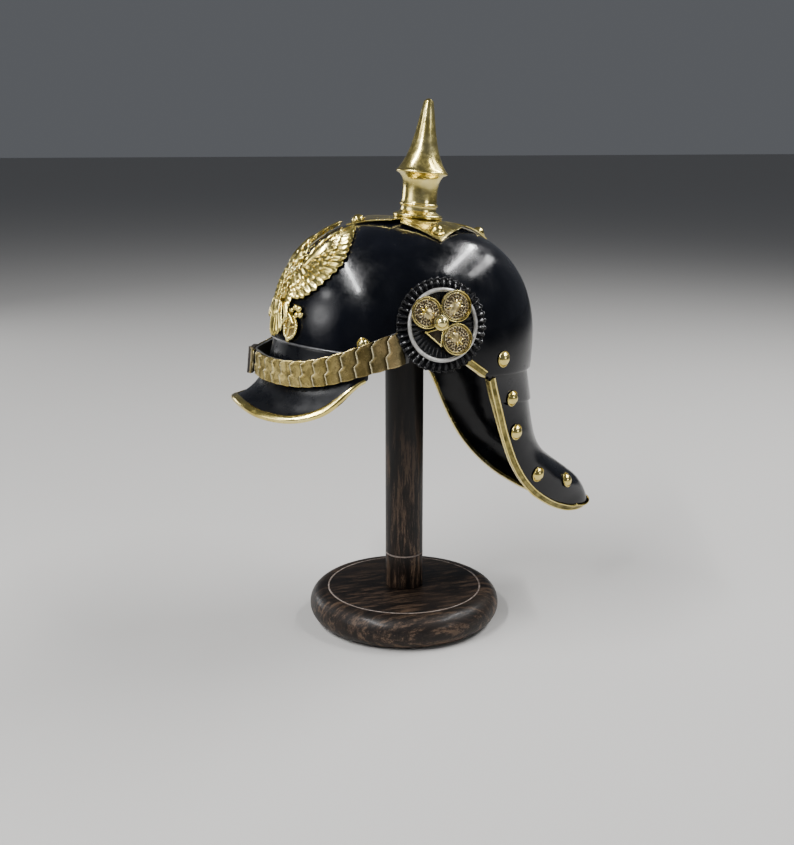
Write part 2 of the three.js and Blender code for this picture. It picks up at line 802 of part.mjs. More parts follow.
add(helmet, 'chin_strap', chinStrap(), leather);
addPair('chin_scales', chinScales(), agedBrass);

addPair('cockade', onCockade(cockade(), 0), cloth);
addPair('cockade_ring', onCockade(cockadeRing(), COCKADE.thickness + GAP), silver);
const trefoilSeat = COCKADE.thickness + 1.4 + 2 * GAP;
addPair('trefoil', onCockade(trefoil(), trefoilSeat), brass);
const bossSeat = trefoilSeat + TREFOIL.thickness + TREFOIL.rim + GAP;
const boss = trefoilBoss().translate(...TREFOIL.boss, 0);
addPair('trefoil_boss', onCockade(boss, bossSeat), brass);

/** A dome-headed stud on the dome or on a plate over it, at a point in plan. */
function crownStud(x, y) {
  const lift = PLATE_LIFT + 1.4 + GAP;
  const spot = (u, v) => new THREE.Vector3(u, v, domeTop(u, v, 0));
  const normal = normalOf(spot, x, y, 0.5, 0.5);
  return stand(dome(6.3, 5), spot(x, y).addScaledVector(normal, lift), normal,
    new THREE.Vector3(0, 1, 0));
}
add(helmet, 'cross_stud_front', crownStud(0, -53), brass);
add(helmet, 'cross_stud_rear', crownStud(0, 58), brass);
addPair('cross_stud', crownStud(46.5, 0), brass);

function domeStud(heading, z, radius, height) {
  const normal = normalOf((u, v) => domeAt(u, v, 0), heading, z, 1, 1);
  return stand(dome(radius, height), domeAt(heading, z, GAP), normal);
}
addPair('peak_stud', domeStud(55.6, 17, 5, 3.6), brass);
addPair('rivet_shell', domeStud(119.6, 10, 7, 4.5), brass);

const NECK_RIVETS = {
  rivet_lame: [1.72, 0.8],
  rivet_tail: [4, 0.82],
  rivet_flare: [7.6, 0.78],
  rivet_tip: [9.2, 0.5],
};
for (const [name, [station, across]] of Object.entries(NECK_RIVETS)) {
  const normal = neckNormal(station, across);
  const inset = station > NECK_SEAM ? tuck(station) : 0;
  const seat = neckPoint(station, across).addScaledVector(normal, 1.5 * GAP - inset);
  addPair(name, stand(dome(7, 4.5), seat, normal), brass);
}

export default model;
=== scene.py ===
"""A spiked dress helmet on its turned wooden stand.

The pieces are modelled in millimetres, the helmet's in its own frame, and are then set in the
CAD frame. The front of the helmet faces -Y and the wearer's left is +X.
"""
from math import asin, atan2, ceil, cos, degrees, hypot, pi, radians, sin, sqrt

import bmesh
import bpy
from mathutils import Matrix, Vector


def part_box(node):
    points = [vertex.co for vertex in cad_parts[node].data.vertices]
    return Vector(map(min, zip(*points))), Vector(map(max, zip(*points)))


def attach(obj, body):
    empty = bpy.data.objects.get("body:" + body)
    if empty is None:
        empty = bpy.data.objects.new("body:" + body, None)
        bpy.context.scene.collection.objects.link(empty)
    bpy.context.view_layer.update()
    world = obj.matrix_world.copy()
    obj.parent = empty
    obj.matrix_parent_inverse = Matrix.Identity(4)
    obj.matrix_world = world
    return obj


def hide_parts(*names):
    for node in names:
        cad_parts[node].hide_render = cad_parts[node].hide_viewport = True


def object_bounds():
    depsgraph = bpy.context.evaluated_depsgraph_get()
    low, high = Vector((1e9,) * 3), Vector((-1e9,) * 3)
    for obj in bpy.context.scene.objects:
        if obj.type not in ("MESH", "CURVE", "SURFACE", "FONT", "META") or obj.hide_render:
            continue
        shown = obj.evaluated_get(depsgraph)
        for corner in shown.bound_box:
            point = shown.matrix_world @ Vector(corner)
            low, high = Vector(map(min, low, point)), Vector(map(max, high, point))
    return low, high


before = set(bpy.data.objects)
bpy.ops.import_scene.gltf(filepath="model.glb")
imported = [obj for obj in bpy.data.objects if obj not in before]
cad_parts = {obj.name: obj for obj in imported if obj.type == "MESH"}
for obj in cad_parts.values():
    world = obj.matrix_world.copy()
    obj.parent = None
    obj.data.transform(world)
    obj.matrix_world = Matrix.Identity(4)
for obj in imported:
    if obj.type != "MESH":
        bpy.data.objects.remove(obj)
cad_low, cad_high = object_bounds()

# --- driving sizes, millimetres

MM = 0.001
GAP = 0.35
MERGE = 0.002  # points closer than this are one
CREASE = radians(38)  # faces that meet at more than this keep a sharp edge
RIM_HEIGHT = 250  # height of the dome's rim centre over the table
LEAN = radians(5.8)  # the helmet leans back on the stand
STAND_FRAME = Matrix.Scale(MM, 4)
HELMET_FRAME = STAND_FRAME @ Matrix.Translation((0, 0, RIM_HEIGHT)) @ Matrix.Rotation(-LEAN, 4, "X")

BASE_GROOVE, POST_GROOVE, INLAY_WIRE = 70.2, 62.3, 0.75  # radius, height, half thickness
CAP_CROWN = 60  # the radius that the stand's cap is domed to

DOME_FRONT, DOME_REAR, DOME_SIDE = 118, 116, 95
DOME_HEIGHT, DOME_POWER, SHELL_WALL = 116, 2.5, 2.2
RIM_FRONT, RIM_CORNER, RIM_REAR = 8, -5.4, -2
RIM_BEND, RIM_CORNER_HEADING = 98.5, 110.5

LEATHER, PLATE, BRASS = 2, 1.5, 0.9

# Half of the front peak: heading of its root on the rim, and the point of its outer edge.
PEAK_EDGE = (
    # heading, x, y, z
    (-9, -20, -147.1, -48.8), (0, 0, -149.5, -47.2), (9, 20, -147.1, -48.8),
    (19.5, 40, -139.3, -51.5), (31.5, 58.5, -125.4, -51.6), (40, 70, -110.7, -48.5),
    (46, 77, -96.1, -41.8), (50.5, 80.3, -84.5, -32.6), (53.5, 81.3, -76, -24.2),
    (56.5, 81, -67.5, -16.5), (59, 80, -60.5, -12), (61.5, 78, -53, -4),
)
PEAK_REACH = len(PEAK_EDGE) - 3
PEAK_LIP, PEAK_DROP, PEAK_OPEN_FROM = 0.06, 0.8, 2.8
PEAK_TRIM_WIDTH = 4.8

# The neck guard from its first seam to the tip of the tail: the centre line, the side edge, and
# half the angle that the arched section sweeps.
NECK = (
    # centre y, centre z, edge x, edge y, edge z, half angle
    (111, 13, 89, 36, 7, 66.4), (112.7, -2, 84.4, 45, -5.2, 66.4),
    (117, -17, 79.5, 50.7, -15.8, 70), (121.5, -33, 75, 57.6, -28.8, 74),
    (124.5, -48, 71, 64.4, -42.3, 78), (127, -60, 68, 70.8, -55.9, 82),
    (132, -71.5, 65, 78, -69.5, 85), (140, -81.5, 61.5, 85.6, -82.3, 86),
    (150.5, -89.5, 57.5, 94.4, -94, 86), (163, -97, 51.5, 106.5, -106.8, 86),
    (175.5, -104.5, 45, 120.8, -118.2, 86), (186, -111.5, 38, 136, -127, 86),
    (194.5, -120.2, 30, 153, -134.8, 86), (200.3, -129.3, 23, 171.5, -139.8, 86),
    (202.6, -135.3, 14.5, 190, -140.3, 86), (203, -138, 0, 203, -138, 86),
    (202, -139, -14.5, 190, -140.3, 86),
)
NECK_TIP = len(NECK) - 3
NECK_SEAM = 2
NECK_TRIM_WIDTH = 5

STRAP_FRONT, STRAP_SIDE, STRAP_END = 131, 96.2, 76
STRAP_LINE = (
    # heading, height of the middle, half the height of the band
    (-12, -15, 9.9), (0, -13.6, 9.8), (12, -15, 9.9), (24, -15, 10.2), (36, -12.8, 10.8),
    (48, -6, 12), (60, 4.8, 13), (72, 16.4, 14.2), (84, 28, 15.4),
)
SCALE_COUNT, SCALE_FIRST, SCALE_LAST = 13, 2.2, 73.5

COCKADE_CENTRE, COCKADE_HEADING, COCKADE_LEAN = Vector((96.1, -8.3, 37.6)), 88, 8
COCKADE_RADIUS, COCKADE_THICKNESS, PLEATS = 38.7, 4, 40
RING_OUTER, RING_INNER = 30, 26.8
# The trefoil sits a little off the cockade's middle. Places are (rearwards, up) from it.
LOBE_RADIUS = 12.9
LOBES = ((-15.1, 9), (9.5, 15.7), (11.7, -10.6))
LEAF = ((-16.5, -6.5), (-1.5, -17.5), (0, -1))
BOSS = (-3.4, 1.8)

BRIGHT, TONED = 0, 1  # the two material slots of a brass edging

# --- curves of the helmet


def mix(a, b, t):
    return a + (b - a) * t


def clamp(value, low=0, high=1):
    return min(max(value, low), high)


def smooth(value, low, high):
    t = clamp((value - low) / (high - low))
    return t * t * (3 - 2 * t)


def toward(azimuth, elevation):
    """The way to something, as the helmet sees it, in degrees."""
    a, e = radians(azimuth), radians(elevation)
    return Vector((sin(a) * cos(e), -cos(a) * cos(e), sin(e)))


def row_at(table, station):
    """A smooth row of a table at a station. Station 0 is the second row."""
    cell = clamp(int(station // 1), 0, len(table) - 4)
    t = station - cell
    a, b, c, d = table[cell:cell + 4]
    row = []
    for p, q, r, s in zip(a, b, c, d):
        slope_in, slope_out = (r - p) / 2, (s - q) / 2
        bend = 3 * (r - q) - 2 * slope_in - slope_out
        twist = 2 * (q - r) + slope_in + slope_out
        row.append(q + t * (slope_in + t * (bend + t * twist)))
    return row


def ring_at(z, height=DOME_HEIGHT):
    return (1 - clamp(z / height) ** DOME_POWER) ** (1 / DOME_POWER)


def dome_at(heading, z, offset=0):
    """A point of the dome at a heading (0 front, 90 left) and a height."""
    angle = radians(heading)
    ring = ring_at(z, DOME_HEIGHT + offset)
    length = (DOME_FRONT if cos(angle) > 0 else DOME_REAR) + offset
    return Vector(((DOME_SIDE + offset) * ring * sin(angle), -length * ring * cos(angle), z))


def dome_normal(point):
    length = DOME_FRONT if point.y < 0 else DOME_REAR
    climb = clamp(point.z / DOME_HEIGHT, 0, 0.9999)
    rise = (1 - climb ** DOME_POWER) ** (2 / DOME_POWER - 1) * climb ** (DOME_POWER - 1)
    slope = point.x / DOME_SIDE ** 2, point.y / length ** 2, rise / DOME_HEIGHT
    return Vector(slope).normalized()


def on_front(x, z, lift):
    """A point over the dome's front, from its place in front elevation."""
    depth = ring_at(z) ** 2 - (x / DOME_SIDE) ** 2
    point = Vector((x, -DOME_FRONT * sqrt(max(depth, 0)), z))
    return point + dome_normal(point) * lift


def on_crown(x, y, lift):
    """A point over the dome's crown, from its place in plan."""
    reach = hypot(x / DOME_SIDE, y / (DOME_FRONT if y < 0 else DOME_REAR))
    point = Vector((x, y, DOME_HEIGHT * (1 - reach ** DOME_POWER) ** (1 / DOME_POWER)))
    return point + dome_normal(point) * lift


def rim_height(heading):
    turn = abs(heading - 360 if heading > 180 else heading)
    if turn <= RIM_BEND:
        return RIM_FRONT
    if turn <= RIM_CORNER_HEADING:
        return mix(RIM_FRONT, RIM_CORNER, (turn - RIM_BEND) / (RIM_CORNER_HEADING - RIM_BEND))
    return mix(RIM_CORNER, RIM_REAR, (turn - RIM_CORNER_HEADING) / (180 - RIM_CORNER_HEADING))


def rim_at(heading):
    return dome_at(heading, rim_height(heading))


def peak_point(along, out):
    """The middle of the peak's wall: along runs in table stations, out from root to edge."""
    heading, x, y, z = row_at(PEAK_EDGE, abs(along))
    side = -1 if along < 0 else 1
    root = dome_at(side * heading, RIM_FRONT - 1.5 * GAP, -SHELL_WALL / 2)
    edge = Vector((side * x, y, z))
    opened = smooth(abs(along), PEAK_OPEN_FROM, PEAK_REACH)
    bend = root.lerp(edge, mix(PEAK_LIP, 0.5, opened))
    bend.z = mix(root.z, edge.z, mix(PEAK_DROP, 0.5, opened))
    return root * (1 - out) ** 2 + bend * 2 * out * (1 - out) + edge * out ** 2


def neck_point(station, across):
    """The outer face of the neck guard: across runs from -1 (right) to 1 (left)."""
    above = min(station, 0)
    centre_y, centre_z, edge_x, edge_y, edge_z, half_angle = row_at(NECK, station - above)
    limit = radians(half_angle)
    swing = across * limit
    arch = (cos(swing) - cos(limit)) / (1 - cos(limit))
    return Vector((edge_x * sin(swing) / sin(limit), mix(edge_y, centre_y, arch),
                   mix(edge_z, centre_z, arch) - above * 16))


def neck_normal(station, across):
    u, v, step = min(station, NECK_TIP - 0.06), clamp(across, -0.98, 0.98), 0.02
    along = neck_point(u + step, v) - neck_point(u - step, v)
    around = neck_point(u, v + step) - neck_point(u, v - step)
    return around.cross(along).normalized()


def tuck(station):
    """How far the tail tucks in under the plate above it."""
    return (PLATE + 1.5 * GAP) * (1 - clamp((station - NECK_SEAM) / 2))


def strap_point(heading, level, offset):
    _, middle, half = row_at(STRAP_LINE, abs(heading) / 12)
    angle = radians(heading)
    return Vector(((STRAP_SIDE + offset) * sin(angle), -(STRAP_FRONT + offset) * cos(angle),
                   middle + level * half))


def frame_on(point, normal, up=Vector((0, 0, 1))):
    """The place of a piece made about Z: on a point, with Z along a normal and Y upwards."""
    x = up.cross(normal).normalized()
    y = normal.cross(x)
    return Matrix.Translation(point) @ Matrix((x, y, normal)).transposed().to_4x4()


# --- ways of making a piece


def closed(bm):
    """Joins the points that meet, and turns the faces outwards."""
    bmesh.ops.remove_doubles(bm, verts=bm.verts, dist=MERGE)
    bmesh.ops.recalc_face_normals(bm, faces=bm.faces)
    return bm


def sheet(across, along, place, tint=None):
    """A grid bent to place(u, v), with u and v as its surface map."""
    bm = bmesh.new()
    bmesh.ops.create_grid(bm, x_segments=across, y_segments=along, size=0.5)
    bmesh.ops.translate(bm, vec=(0.5, 0.5, 0), verts=bm.verts)
    surface = bm.loops.layers.uv.new("surface")
    for face in bm.faces:
        if tint:
            face.material_index = tint(*face.calc_center_median().xy)
        for loop in face.loops:
            loop[surface].uv = loop.vert.co.xy
    return closed(bent(bm, lambda u, v, _: place(u, v)))


def turned(profile, steps=72):
    """A spun piece from (radius, height) pairs."""
    bm = bmesh.new()
    verts = [bm.verts.new((radius, 0, height)) for radius, height in profile]
    edges = [bm.edges.new(pair) for pair in zip(verts, verts[1:])]
    bmesh.ops.spin(bm, geom=verts + edges, cent=(0, 0, 0), axis=(0, 0, 1), angle=2 * pi,
                   steps=steps, use_merge=True)
    return closed(bm)


def arc(centre, radius, start, end, count):
    return [(centre[0] + radius * cos(radians(mix(start, end, i / count))),
             centre[1] + radius * sin(radians(mix(start, end, i / count))))
            for i in range(count + 1)]


LOWER_PART = -0.8  # what lies below this in an edging's section is its inner flap


def swept(section, frames, tint=None):
    """A closed section carried through (origin, across, outward, depth) frames, with its ends
    filled. The depth is how much further the section's lower part reaches there."""
    count, last = len(section), len(frames) - 1

    def place(u, v):
        a, b = section[round(u * count) % count]
        origin, across, outward, depth = frames[round(v * last)]
        return origin + across * a + outward * (b - depth if b < LOWER_PART else b)

    bm = sheet(count, last, place, tint)
    bmesh.ops.holes_fill(bm, edges=[edge for edge in bm.edges if edge.is_boundary])
    return closed(bm)


def flat(outline):
    """A flat face in its own plane."""
    bm = bmesh.new()
    bm.faces.new([bm.verts.new((x, y, 0)) for x, y in outline])
    return bm


def in_cells(bm, cell):
    """Cuts a flat plate into square cells, so that it can be bent."""
    for axis, normal in enumerate((Vector((1, 0, 0)), Vector((0, 1, 0)))):
        reach = [vert.co[axis] for vert in bm.verts]
        for i in range(1, ceil((max(reach) - min(reach)) / cell)):
            bmesh.ops.bisect_plane(bm, geom=bm.verts[:] + bm.edges[:] + bm.faces[:], dist=0.0001,
                                   plane_co=normal * (min(reach) + i * cell), plane_no=normal)
    return bm


def moved(bm, matrix):
    bmesh.ops.transform(bm, matrix=matrix, verts=bm.verts)
    return bm


def at(bm, x, y, z=0):
    return moved(bm, Matrix.Translation((x, y, z)))


def bent(bm, place):
    """Every vertex goes from (x, y, z) to place(x, y, z)."""
    for vert in bm.verts:
        vert.co = place(*vert.co)
    return bm


def gathered(parts):
    """Several bmeshes as one."""
    bm = bmesh.new()
    for part in parts:
        mesh = bpy.data.meshes.new("part")
        part.to_mesh(mesh)
        part.free()
        bm.from_mesh(mesh)
        bpy.data.meshes.remove(mesh)
    return bm


def given(thing, **settings):
    """Sets several properties of a thing."""
    for key, value in settings.items():
        setattr(thing, key, value)
    return thing


def placed(name, data, **settings):
    """A new object in the scene."""
    thing = given(bpy.data.objects.new(name, data), **settings)
    bpy.context.scene.collection.objects.link(thing)
    return thing


def stood(name, bm, finishes):
    """The piece of a bmesh, in the scene."""
    mesh = bpy.data.meshes.new(name)
    bm.to_mesh(mesh)
    bm.free()
    for finish in finishes:
        mesh.materials.append(finish)
    return placed(name, mesh)


def make(name, bm, finishes, slot, extra=False, wall=0, edge=0, place=HELMET_FRAME):
    """Sets a modelled piece in the CAD frame. It stands for the node of its name, unless it is
    an extra."""
    piece = stood(f"{name}_look", moved(bm, place), finishes)
    piece.data.shade_smooth()
    if wall:
        given(piece.modifiers.new("wall", "SOLIDIFY"), thickness=wall * MM, offset=0,
              use_even_offset=True)
    if edge:
        given(piece.modifiers.new("edge", "BEVEL"), width=edge * MM, segments=2,
              limit_method="ANGLE", angle_limit=CREASE)
    else:
        piece.data.set_sharp_from_angle(angle=CREASE)
    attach(piece, "root")
    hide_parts(*([] if extra else [name]))


def mirrored(bm):
    bmesh.ops.scale(bm, vec=(-1, 1, 1), verts=bm.verts)
    bmesh.ops.reverse_faces(bm, faces=bm.faces)
    return bm


def make_pair(name, build, finishes, slot, **options):
    """A piece made for the wearer's left, and its mirrored twin on the right."""
    make(f"{name}_left", build(), finishes, slot, **options)
    make(f"{name}_right", mirrored(build()), finishes, slot, **options)


# --- finishes


class Finish:
    """A material with a Principled shader, and short ways to patterns on Object coordinates."""

    def __init__(self, name, metallic=0, roughness=0.4, **constants):
        self.material = bpy.data.materials.new(name)
        self.material.use_nodes = True
        self.tree = self.material.node_tree
        self.shader = self.tree.nodes["Principled BSDF"]
        for socket, value in {"Metallic": metallic, "Roughness": roughness, **constants}.items():
            self.shader.inputs[socket.replace("_", " ")].default_value = value
        self.place = self.node("TexCoord", "Object")

    def node(self, kind, output, inputs=(), **settings):
        """The output of a new node, whose inputs are set or linked."""
        node = given(self.tree.nodes.new(f"ShaderNode{kind}"), **settings)
        for key, value in dict(inputs).items():
            if isinstance(value, bpy.types.NodeSocket):
                self.tree.links.new(value, node.inputs[key])
            else:
                node.inputs[key].default_value = value
        return node.outputs[output]

    def noise(self, scale, detail=4, rough=0.55, stretch=(1, 1, 1), distortion=0):
        place = self.node("Mapping", "Vector", {"Vector": self.place, "Scale": stretch})
        return self.node("TexNoise", "Fac", {"Vector": place, "Scale": scale, "Detail": detail,
                                             "Roughness": rough, "Distortion": distortion})

    def axis(self, letter, low, high):
        """0 to 1 along an axis, between two places in metres."""
        along = self.node("SeparateXYZ", letter, {"Vector": self.place})
        return self.between(along, low, high, 0, 1)

    def chart(self, letter):
        """0 to 1 along one way of a sheet's own surface map."""
        surface = self.node("UVMap", "UV", uv_map="surface")
        return self.node("SeparateXYZ", letter, {"Vector": surface})

    def between(self, source, low, high, to_low, to_high):
        return self.node("MapRange", "Result", {"Value": source, "From Min": low, "From Max": high,
                                                "To Min": to_low, "To Max": to_high})

    def colours(self, source, *stops):
        """Runs through stops, each (position, red, green, blue)."""
        ramp = self.node("ValToRGB", "Color", {"Fac": source})
        elements = ramp.node.color_ramp.elements
        while len(elements) < len(stops):
            elements.new(0.5)
        for element, (position, *colour) in zip(elements, stops):
            element.position = position
            element.color = (*colour, 1)
        return ramp

    def blended(self, amount, first, second):
        return self.node("Mix", 2, {0: amount, 6: first, 7: second}, data_type="RGBA")

    def drive(self, socket, source):
        self.tree.links.new(source, self.shader.inputs[socket])

    def relief(self, *heights):
        """Stacks (height socket, depth in millimetres, strength) bumps."""
        below = {}
        for source, depth, strength in heights:
            normal = self.node("Bump", "Normal", {"Strength": strength, "Distance": depth * MM,
                                                  "Height": source, **below})
            below = {"Normal": normal}
        self.drive("Normal", normal)


def patchy(name, tone, stops, gloss=None, bumps=(), pores=None, **constants):
    """A finish of noises, each (scale, detail, roughness). Its tone runs through the stops, its
    gloss is (noise, from, to, roughness at from, at to), bumps are (noise, depth, strength),
    and pores (scale, depth, strength)."""
    finish = Finish(name, **constants)
    finish.drive("Base Color", finish.colours(finish.noise(*tone), *stops))
    if gloss:
        noise, *spread = gloss
        finish.drive("Roughness", finish.between(finish.noise(*noise), *spread))
    heights = [(finish.noise(*noise), depth, strength) for noise, depth, strength in bumps]
    if pores:
        scale, depth, strength = pores
        cells = finish.node("TexVoronoi", "Distance", {"Vector": finish.place, "Scale": scale})
        heights.append((cells, depth, strength))
    if heights:
        finish.relief(*heights)
    return finish.material


def black_lacquer(name, smoothest, dullest):
    """Varnished leather: deep black, a little wavy, with fine pores and dull rubbed patches."""
    stops = ((0.35, 0.0012, 0.0015, 0.0025), (0.6, 0.003, 0.0036, 0.006),
             (0.8, 0.008, 0.0095, 0.014))
    bumps = ((28, 2), 0.8, 0.3), ((130, 3), 0.22, 0.35), ((900, 3), 0.05, 0.35)
    return patchy(name, (14, 5), stops, ((55, 6, 0.65), 0.3, 0.75, smoothest, dullest), bumps,
                  Coat_Weight=0.14, Coat_Roughness=0.06, IOR=1.31)


def scale_brass():
    """Brass scales: pale gold in front, browner round the side, and greenish by the cockade, with
    painted shade on each scale's covered end and a painted highlight along its free edge.
    """
    finish = Finish("strap scale brass", metallic=1)
    along = finish.axis("Y", -0.15, 0)
    bright = finish.colours(along, (0, 0.9, 0.73, 0.29), (0.3, 0.78, 0.61, 0.23),
                            (0.5, 0.4, 0.31, 0.13), (0.7, 0.42, 0.31, 0.14),
                            (0.9, 0.36, 0.38, 0.24))
    dull = finish.colours(along, (0, 0.7, 0.54, 0.19), (0.3, 0.5, 0.38, 0.12),
                          (0.55, 0.2, 0.15, 0.055), (0.9, 0.14, 0.15, 0.09))
    stains = finish.colours(finish.noise(70, 5, 0.6), (0.4, 0, 0, 0), (0.62, 1, 1, 1))
    speckle = finish.noise(200, 3)
    # Painted shade: a dark tone on each scale's covered end, where the neighbouring scale's free
    # edge casts its shadow.
    painted_shade = finish.colours(speckle, (0.3, 0.012, 0.009, 0.004), (0.7, 0.05, 0.04, 0.018))
    # Painted highlight: a pale tone for the glint along each scale's free edge.
    painted_highlight = finish.colours(speckle, (0.3, 0.8, 0.7, 0.38), (0.7, 0.95, 0.87, 0.6))
    reach = finish.chart("X")
    # The mask of the painted shade: dark at the covered end, fading out a little further along.
    under = finish.between(reach, 0.2, 0.36, 0.1, 1)
    # Where the painted highlight lies: along each scale's free edge.
    highlight_share = finish.between(reach, 0.9, 0.96, 0, 0.75)
    metal = finish.blended(under, painted_shade, finish.blended(stains, dull, bright))
    finish.drive("Base Color", finish.blended(highlight_share, metal, painted_highlight))
    finish.drive("Roughness", finish.between(finish.noise(220, 5), 0.3, 0.75, 0.16, 0.4))
    finish.relief((finish.noise(120, 4), 0.25, 0.35))
    return finish.material


def dark_wood(name, grain, darkening):
    """Dark stained hardwood, browner lower down and darker higher up: darkening gives the heights,
    in metres, between which it darkens.
    The grain's stretch says which way it runs."""
    finish = Finish(name, Coat_Weight=0.12, Coat_Roughness=0.22, IOR=1.3)
    streaks = finish.noise(38, 8, 0.62, grain, 0.6)
    fine = finish.noise(220, 8, 0.8, grain)
    body = finish.colours(streaks, (0.36, 0.003, 0.002, 0.0017), (0.5, 0.011, 0.007, 0.005),
                          (0.6, 0.034, 0.021, 0.014), (0.74, 0.09, 0.055, 0.035))
    flecks = finish.colours(fine, (0.44, 0.003, 0.002, 0.0016), (0.52, 0.026, 0.016, 0.011),
                            (0.58, 0.2, 0.125, 0.078))
    dark = finish.colours(fine, (0.4, 0.0012, 0.001, 0.0009), (0.65, 0.009, 0.006, 0.0045))
    share = finish.between(finish.noise(14, 3), 0.35, 0.65, 0.3, 0.85)
    lively = finish.blended(share, body, flecks)
    finish.drive("Base Color", finish.blended(finish.axis("Z", *darkening), lively, dark))
    finish.drive("Roughness", finish.between(streaks, 0.3, 0.75, 0.42, 0.62))
    finish.relief((fine, 0.25, 0.4), (streaks, 0.4, 0.25))
    return finish.material


LACQUER = black_lacquer("black lacquer", 0.08, 0.32)
PEAK_LACQUER = black_lacquer("peak lacquer", 0.2, 0.46)
POLISHED = patchy(
    "polished brass", (45, 5),
    ((0.3, 0.62, 0.49, 0.13), (0.5, 0.86, 0.71, 0.24), (0.75, 0.96, 0.85, 0.42)),
    ((160, 5, 0.6), 0.3, 0.75, 0.12, 0.32), [((260, 4), 0.12, 0.35)], metallic=1)
TONED_BRASS = patchy(
    "toned brass", (90, 6, 0.65),
    ((0.32, 0.2, 0.155, 0.065), (0.5, 0.5, 0.4, 0.19), (0.7, 0.82, 0.71, 0.42)),
    ((300, 5), 0.3, 0.75, 0.25, 0.5), [((500, 4), 0.3, 0.55)], metallic=1)
# Bright grains over a brown ground.
FILIGREE = patchy(
    "filigree brass", (700, 3, 0.6),
    ((0.4, 0.06, 0.042, 0.02), (0.5, 0.26, 0.19, 0.09), (0.6, 0.88, 0.77, 0.48)),
    ((700, 3, 0.6), 0.3, 0.7, 0.5, 0.25), [((700, 3, 0.6), 0.5, 0.6)], metallic=1)
# The unpolished olive channel between an edging's ridges.
CHANNEL = patchy(
    "channel brass", (120, 5), ((0.35, 0.1, 0.085, 0.025), (0.7, 0.38, 0.32, 0.12)),
    ((300, 4), 0.3, 0.7, 0.3, 0.5), metallic=1)
# A dark paint that stands for shade: in the trefoil's sunk rim channels, its piercings and the
# leaf's sunk floor.
HOLLOW_SHADE = patchy(
    "painted hollow shade", (200, 4), ((0.35, 0.012, 0.009, 0.006), (0.75, 0.075, 0.055, 0.03)),
    metallic=0.6, roughness=0.6)
SCALE_BRASS = scale_brass()
SILVER = patchy(
    "white metal", (120, 5), ((0.35, 0.42, 0.41, 0.39), (0.7, 0.72, 0.71, 0.69)),
    ((300, 4), 0.3, 0.7, 0.34, 0.55), [((400, 4), 0.1, 0.3)], metallic=1)
PLEAT_BLACK = patchy(
    "cockade lacquer", (80, 4), ((0.35, 0.002, 0.002, 0.0025), (0.75, 0.008, 0.008, 0.01)),
    ((200, 4), 0.3, 0.7, 0.16, 0.32), [((350, 3), 0.12, 0.3)],
    Coat_Weight=0.12, Coat_Roughness=0.1, IOR=1.33)
STRAP_LEATHER = patchy(
    "strap leather", (150, 6, 0.65), ((0.35, 0.03, 0.03, 0.03), (0.7, 0.11, 0.11, 0.107)),
    ((300, 4), 0.3, 0.7, 0.45, 0.7), pores=(900, 0.12, 0.4))
# The grey bead along the seam between the dome and the peak, lighter than the lacquer round it.
SEAM = patchy(
    "seam leather", (120, 5), ((0.35, 0.03, 0.031, 0.034), (0.7, 0.1, 0.1, 0.105)),
    ((300, 4), 0.3, 0.7, 0.25, 0.45), Coat_Weight=0.4, Coat_Roughness=0.2)
DARK_LEATHER = patchy(
    "inner leather", (60, 6), ((0.3, 0.012, 0.01, 0.009), (0.75, 0.035, 0.028, 0.022)),
    ((120, 4), 0.3, 0.7, 0.5, 0.75), pores=(700, 0.15, 0.5))
INLAY = patchy(
    "pale inlay", (200, 4), ((0.35, 0.13, 0.1, 0.085), (0.7, 0.34, 0.28, 0.24)),
    ((300, 4), 0.3, 0.7, 0.4, 0.6), IOR=1.4)
BASE_WOOD = dark_wood("base wood", (1, 0.16, 0.5), (-0.012, 0.056))
POST_WOOD = dark_wood("post wood", (1, 1, 0.1), (0.1, 0.2))

# --- the stand


def make_wood(name, profile, steps, finish, **options):
    make(name, turned(profile, steps), [finish], "wood", place=STAND_FRAME, **options)


def make_stand():
    radius, _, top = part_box("stand_base")[1] / MM
    edge = top / 2
    make_wood("stand_base", [(0, 0), *arc((radius - edge, edge), edge, -90, 90, 24),
                             *arc((BASE_GROOVE, top + 0.3), 1.2, -15, -165, 8), (0, top)],
              128, BASE_WOOD)
    make_wood("base_line", arc((BASE_GROOVE, top - 0.75), INLAY_WIRE, 0, 360, 10), 128, INLAY,
              extra=True)
    (_, _, low), (radius, _, high) = (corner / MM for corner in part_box("stand_post"))
    make_wood("stand_post", [(0, low), (radius - 0.6, low), (radius, low + 0.8),
                             *arc((radius + 0.5, POST_GROOVE), 1.3, -115, -245, 8),
                             (radius, high), (0, high)], 96, POST_WOOD)
    make_wood("post_line", arc((radius - 0.65, POST_GROOVE), INLAY_WIRE, 0, 360, 10), 96, INLAY,
              extra=True)
    (_, _, low), (radius, _, high) = (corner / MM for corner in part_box("stand_cap"))
    reach = degrees(asin(radius / CAP_CROWN))
    make_wood("stand_cap", [(0, low), (radius - 8, low),
                            *arc((0, high - CAP_CROWN), CAP_CROWN, 90 - reach, 90, 12)],
              64, BASE_WOOD)


# --- shell, peak and guard


def shell_point(u, v):
    """The middle of the shell's wall: u turns about the dome and v climbs it."""
    heading = 360 * u
    height = DOME_HEIGHT * sin(radians(90 * v)) ** (2 / DOME_POWER)
    rim = mix(rim_height(heading), height, smooth(v, -0.1, 0.25))
    return dome_at(heading, mix(rim, height, smooth(v, 0, 0.25)), -SHELL_WALL / 2)


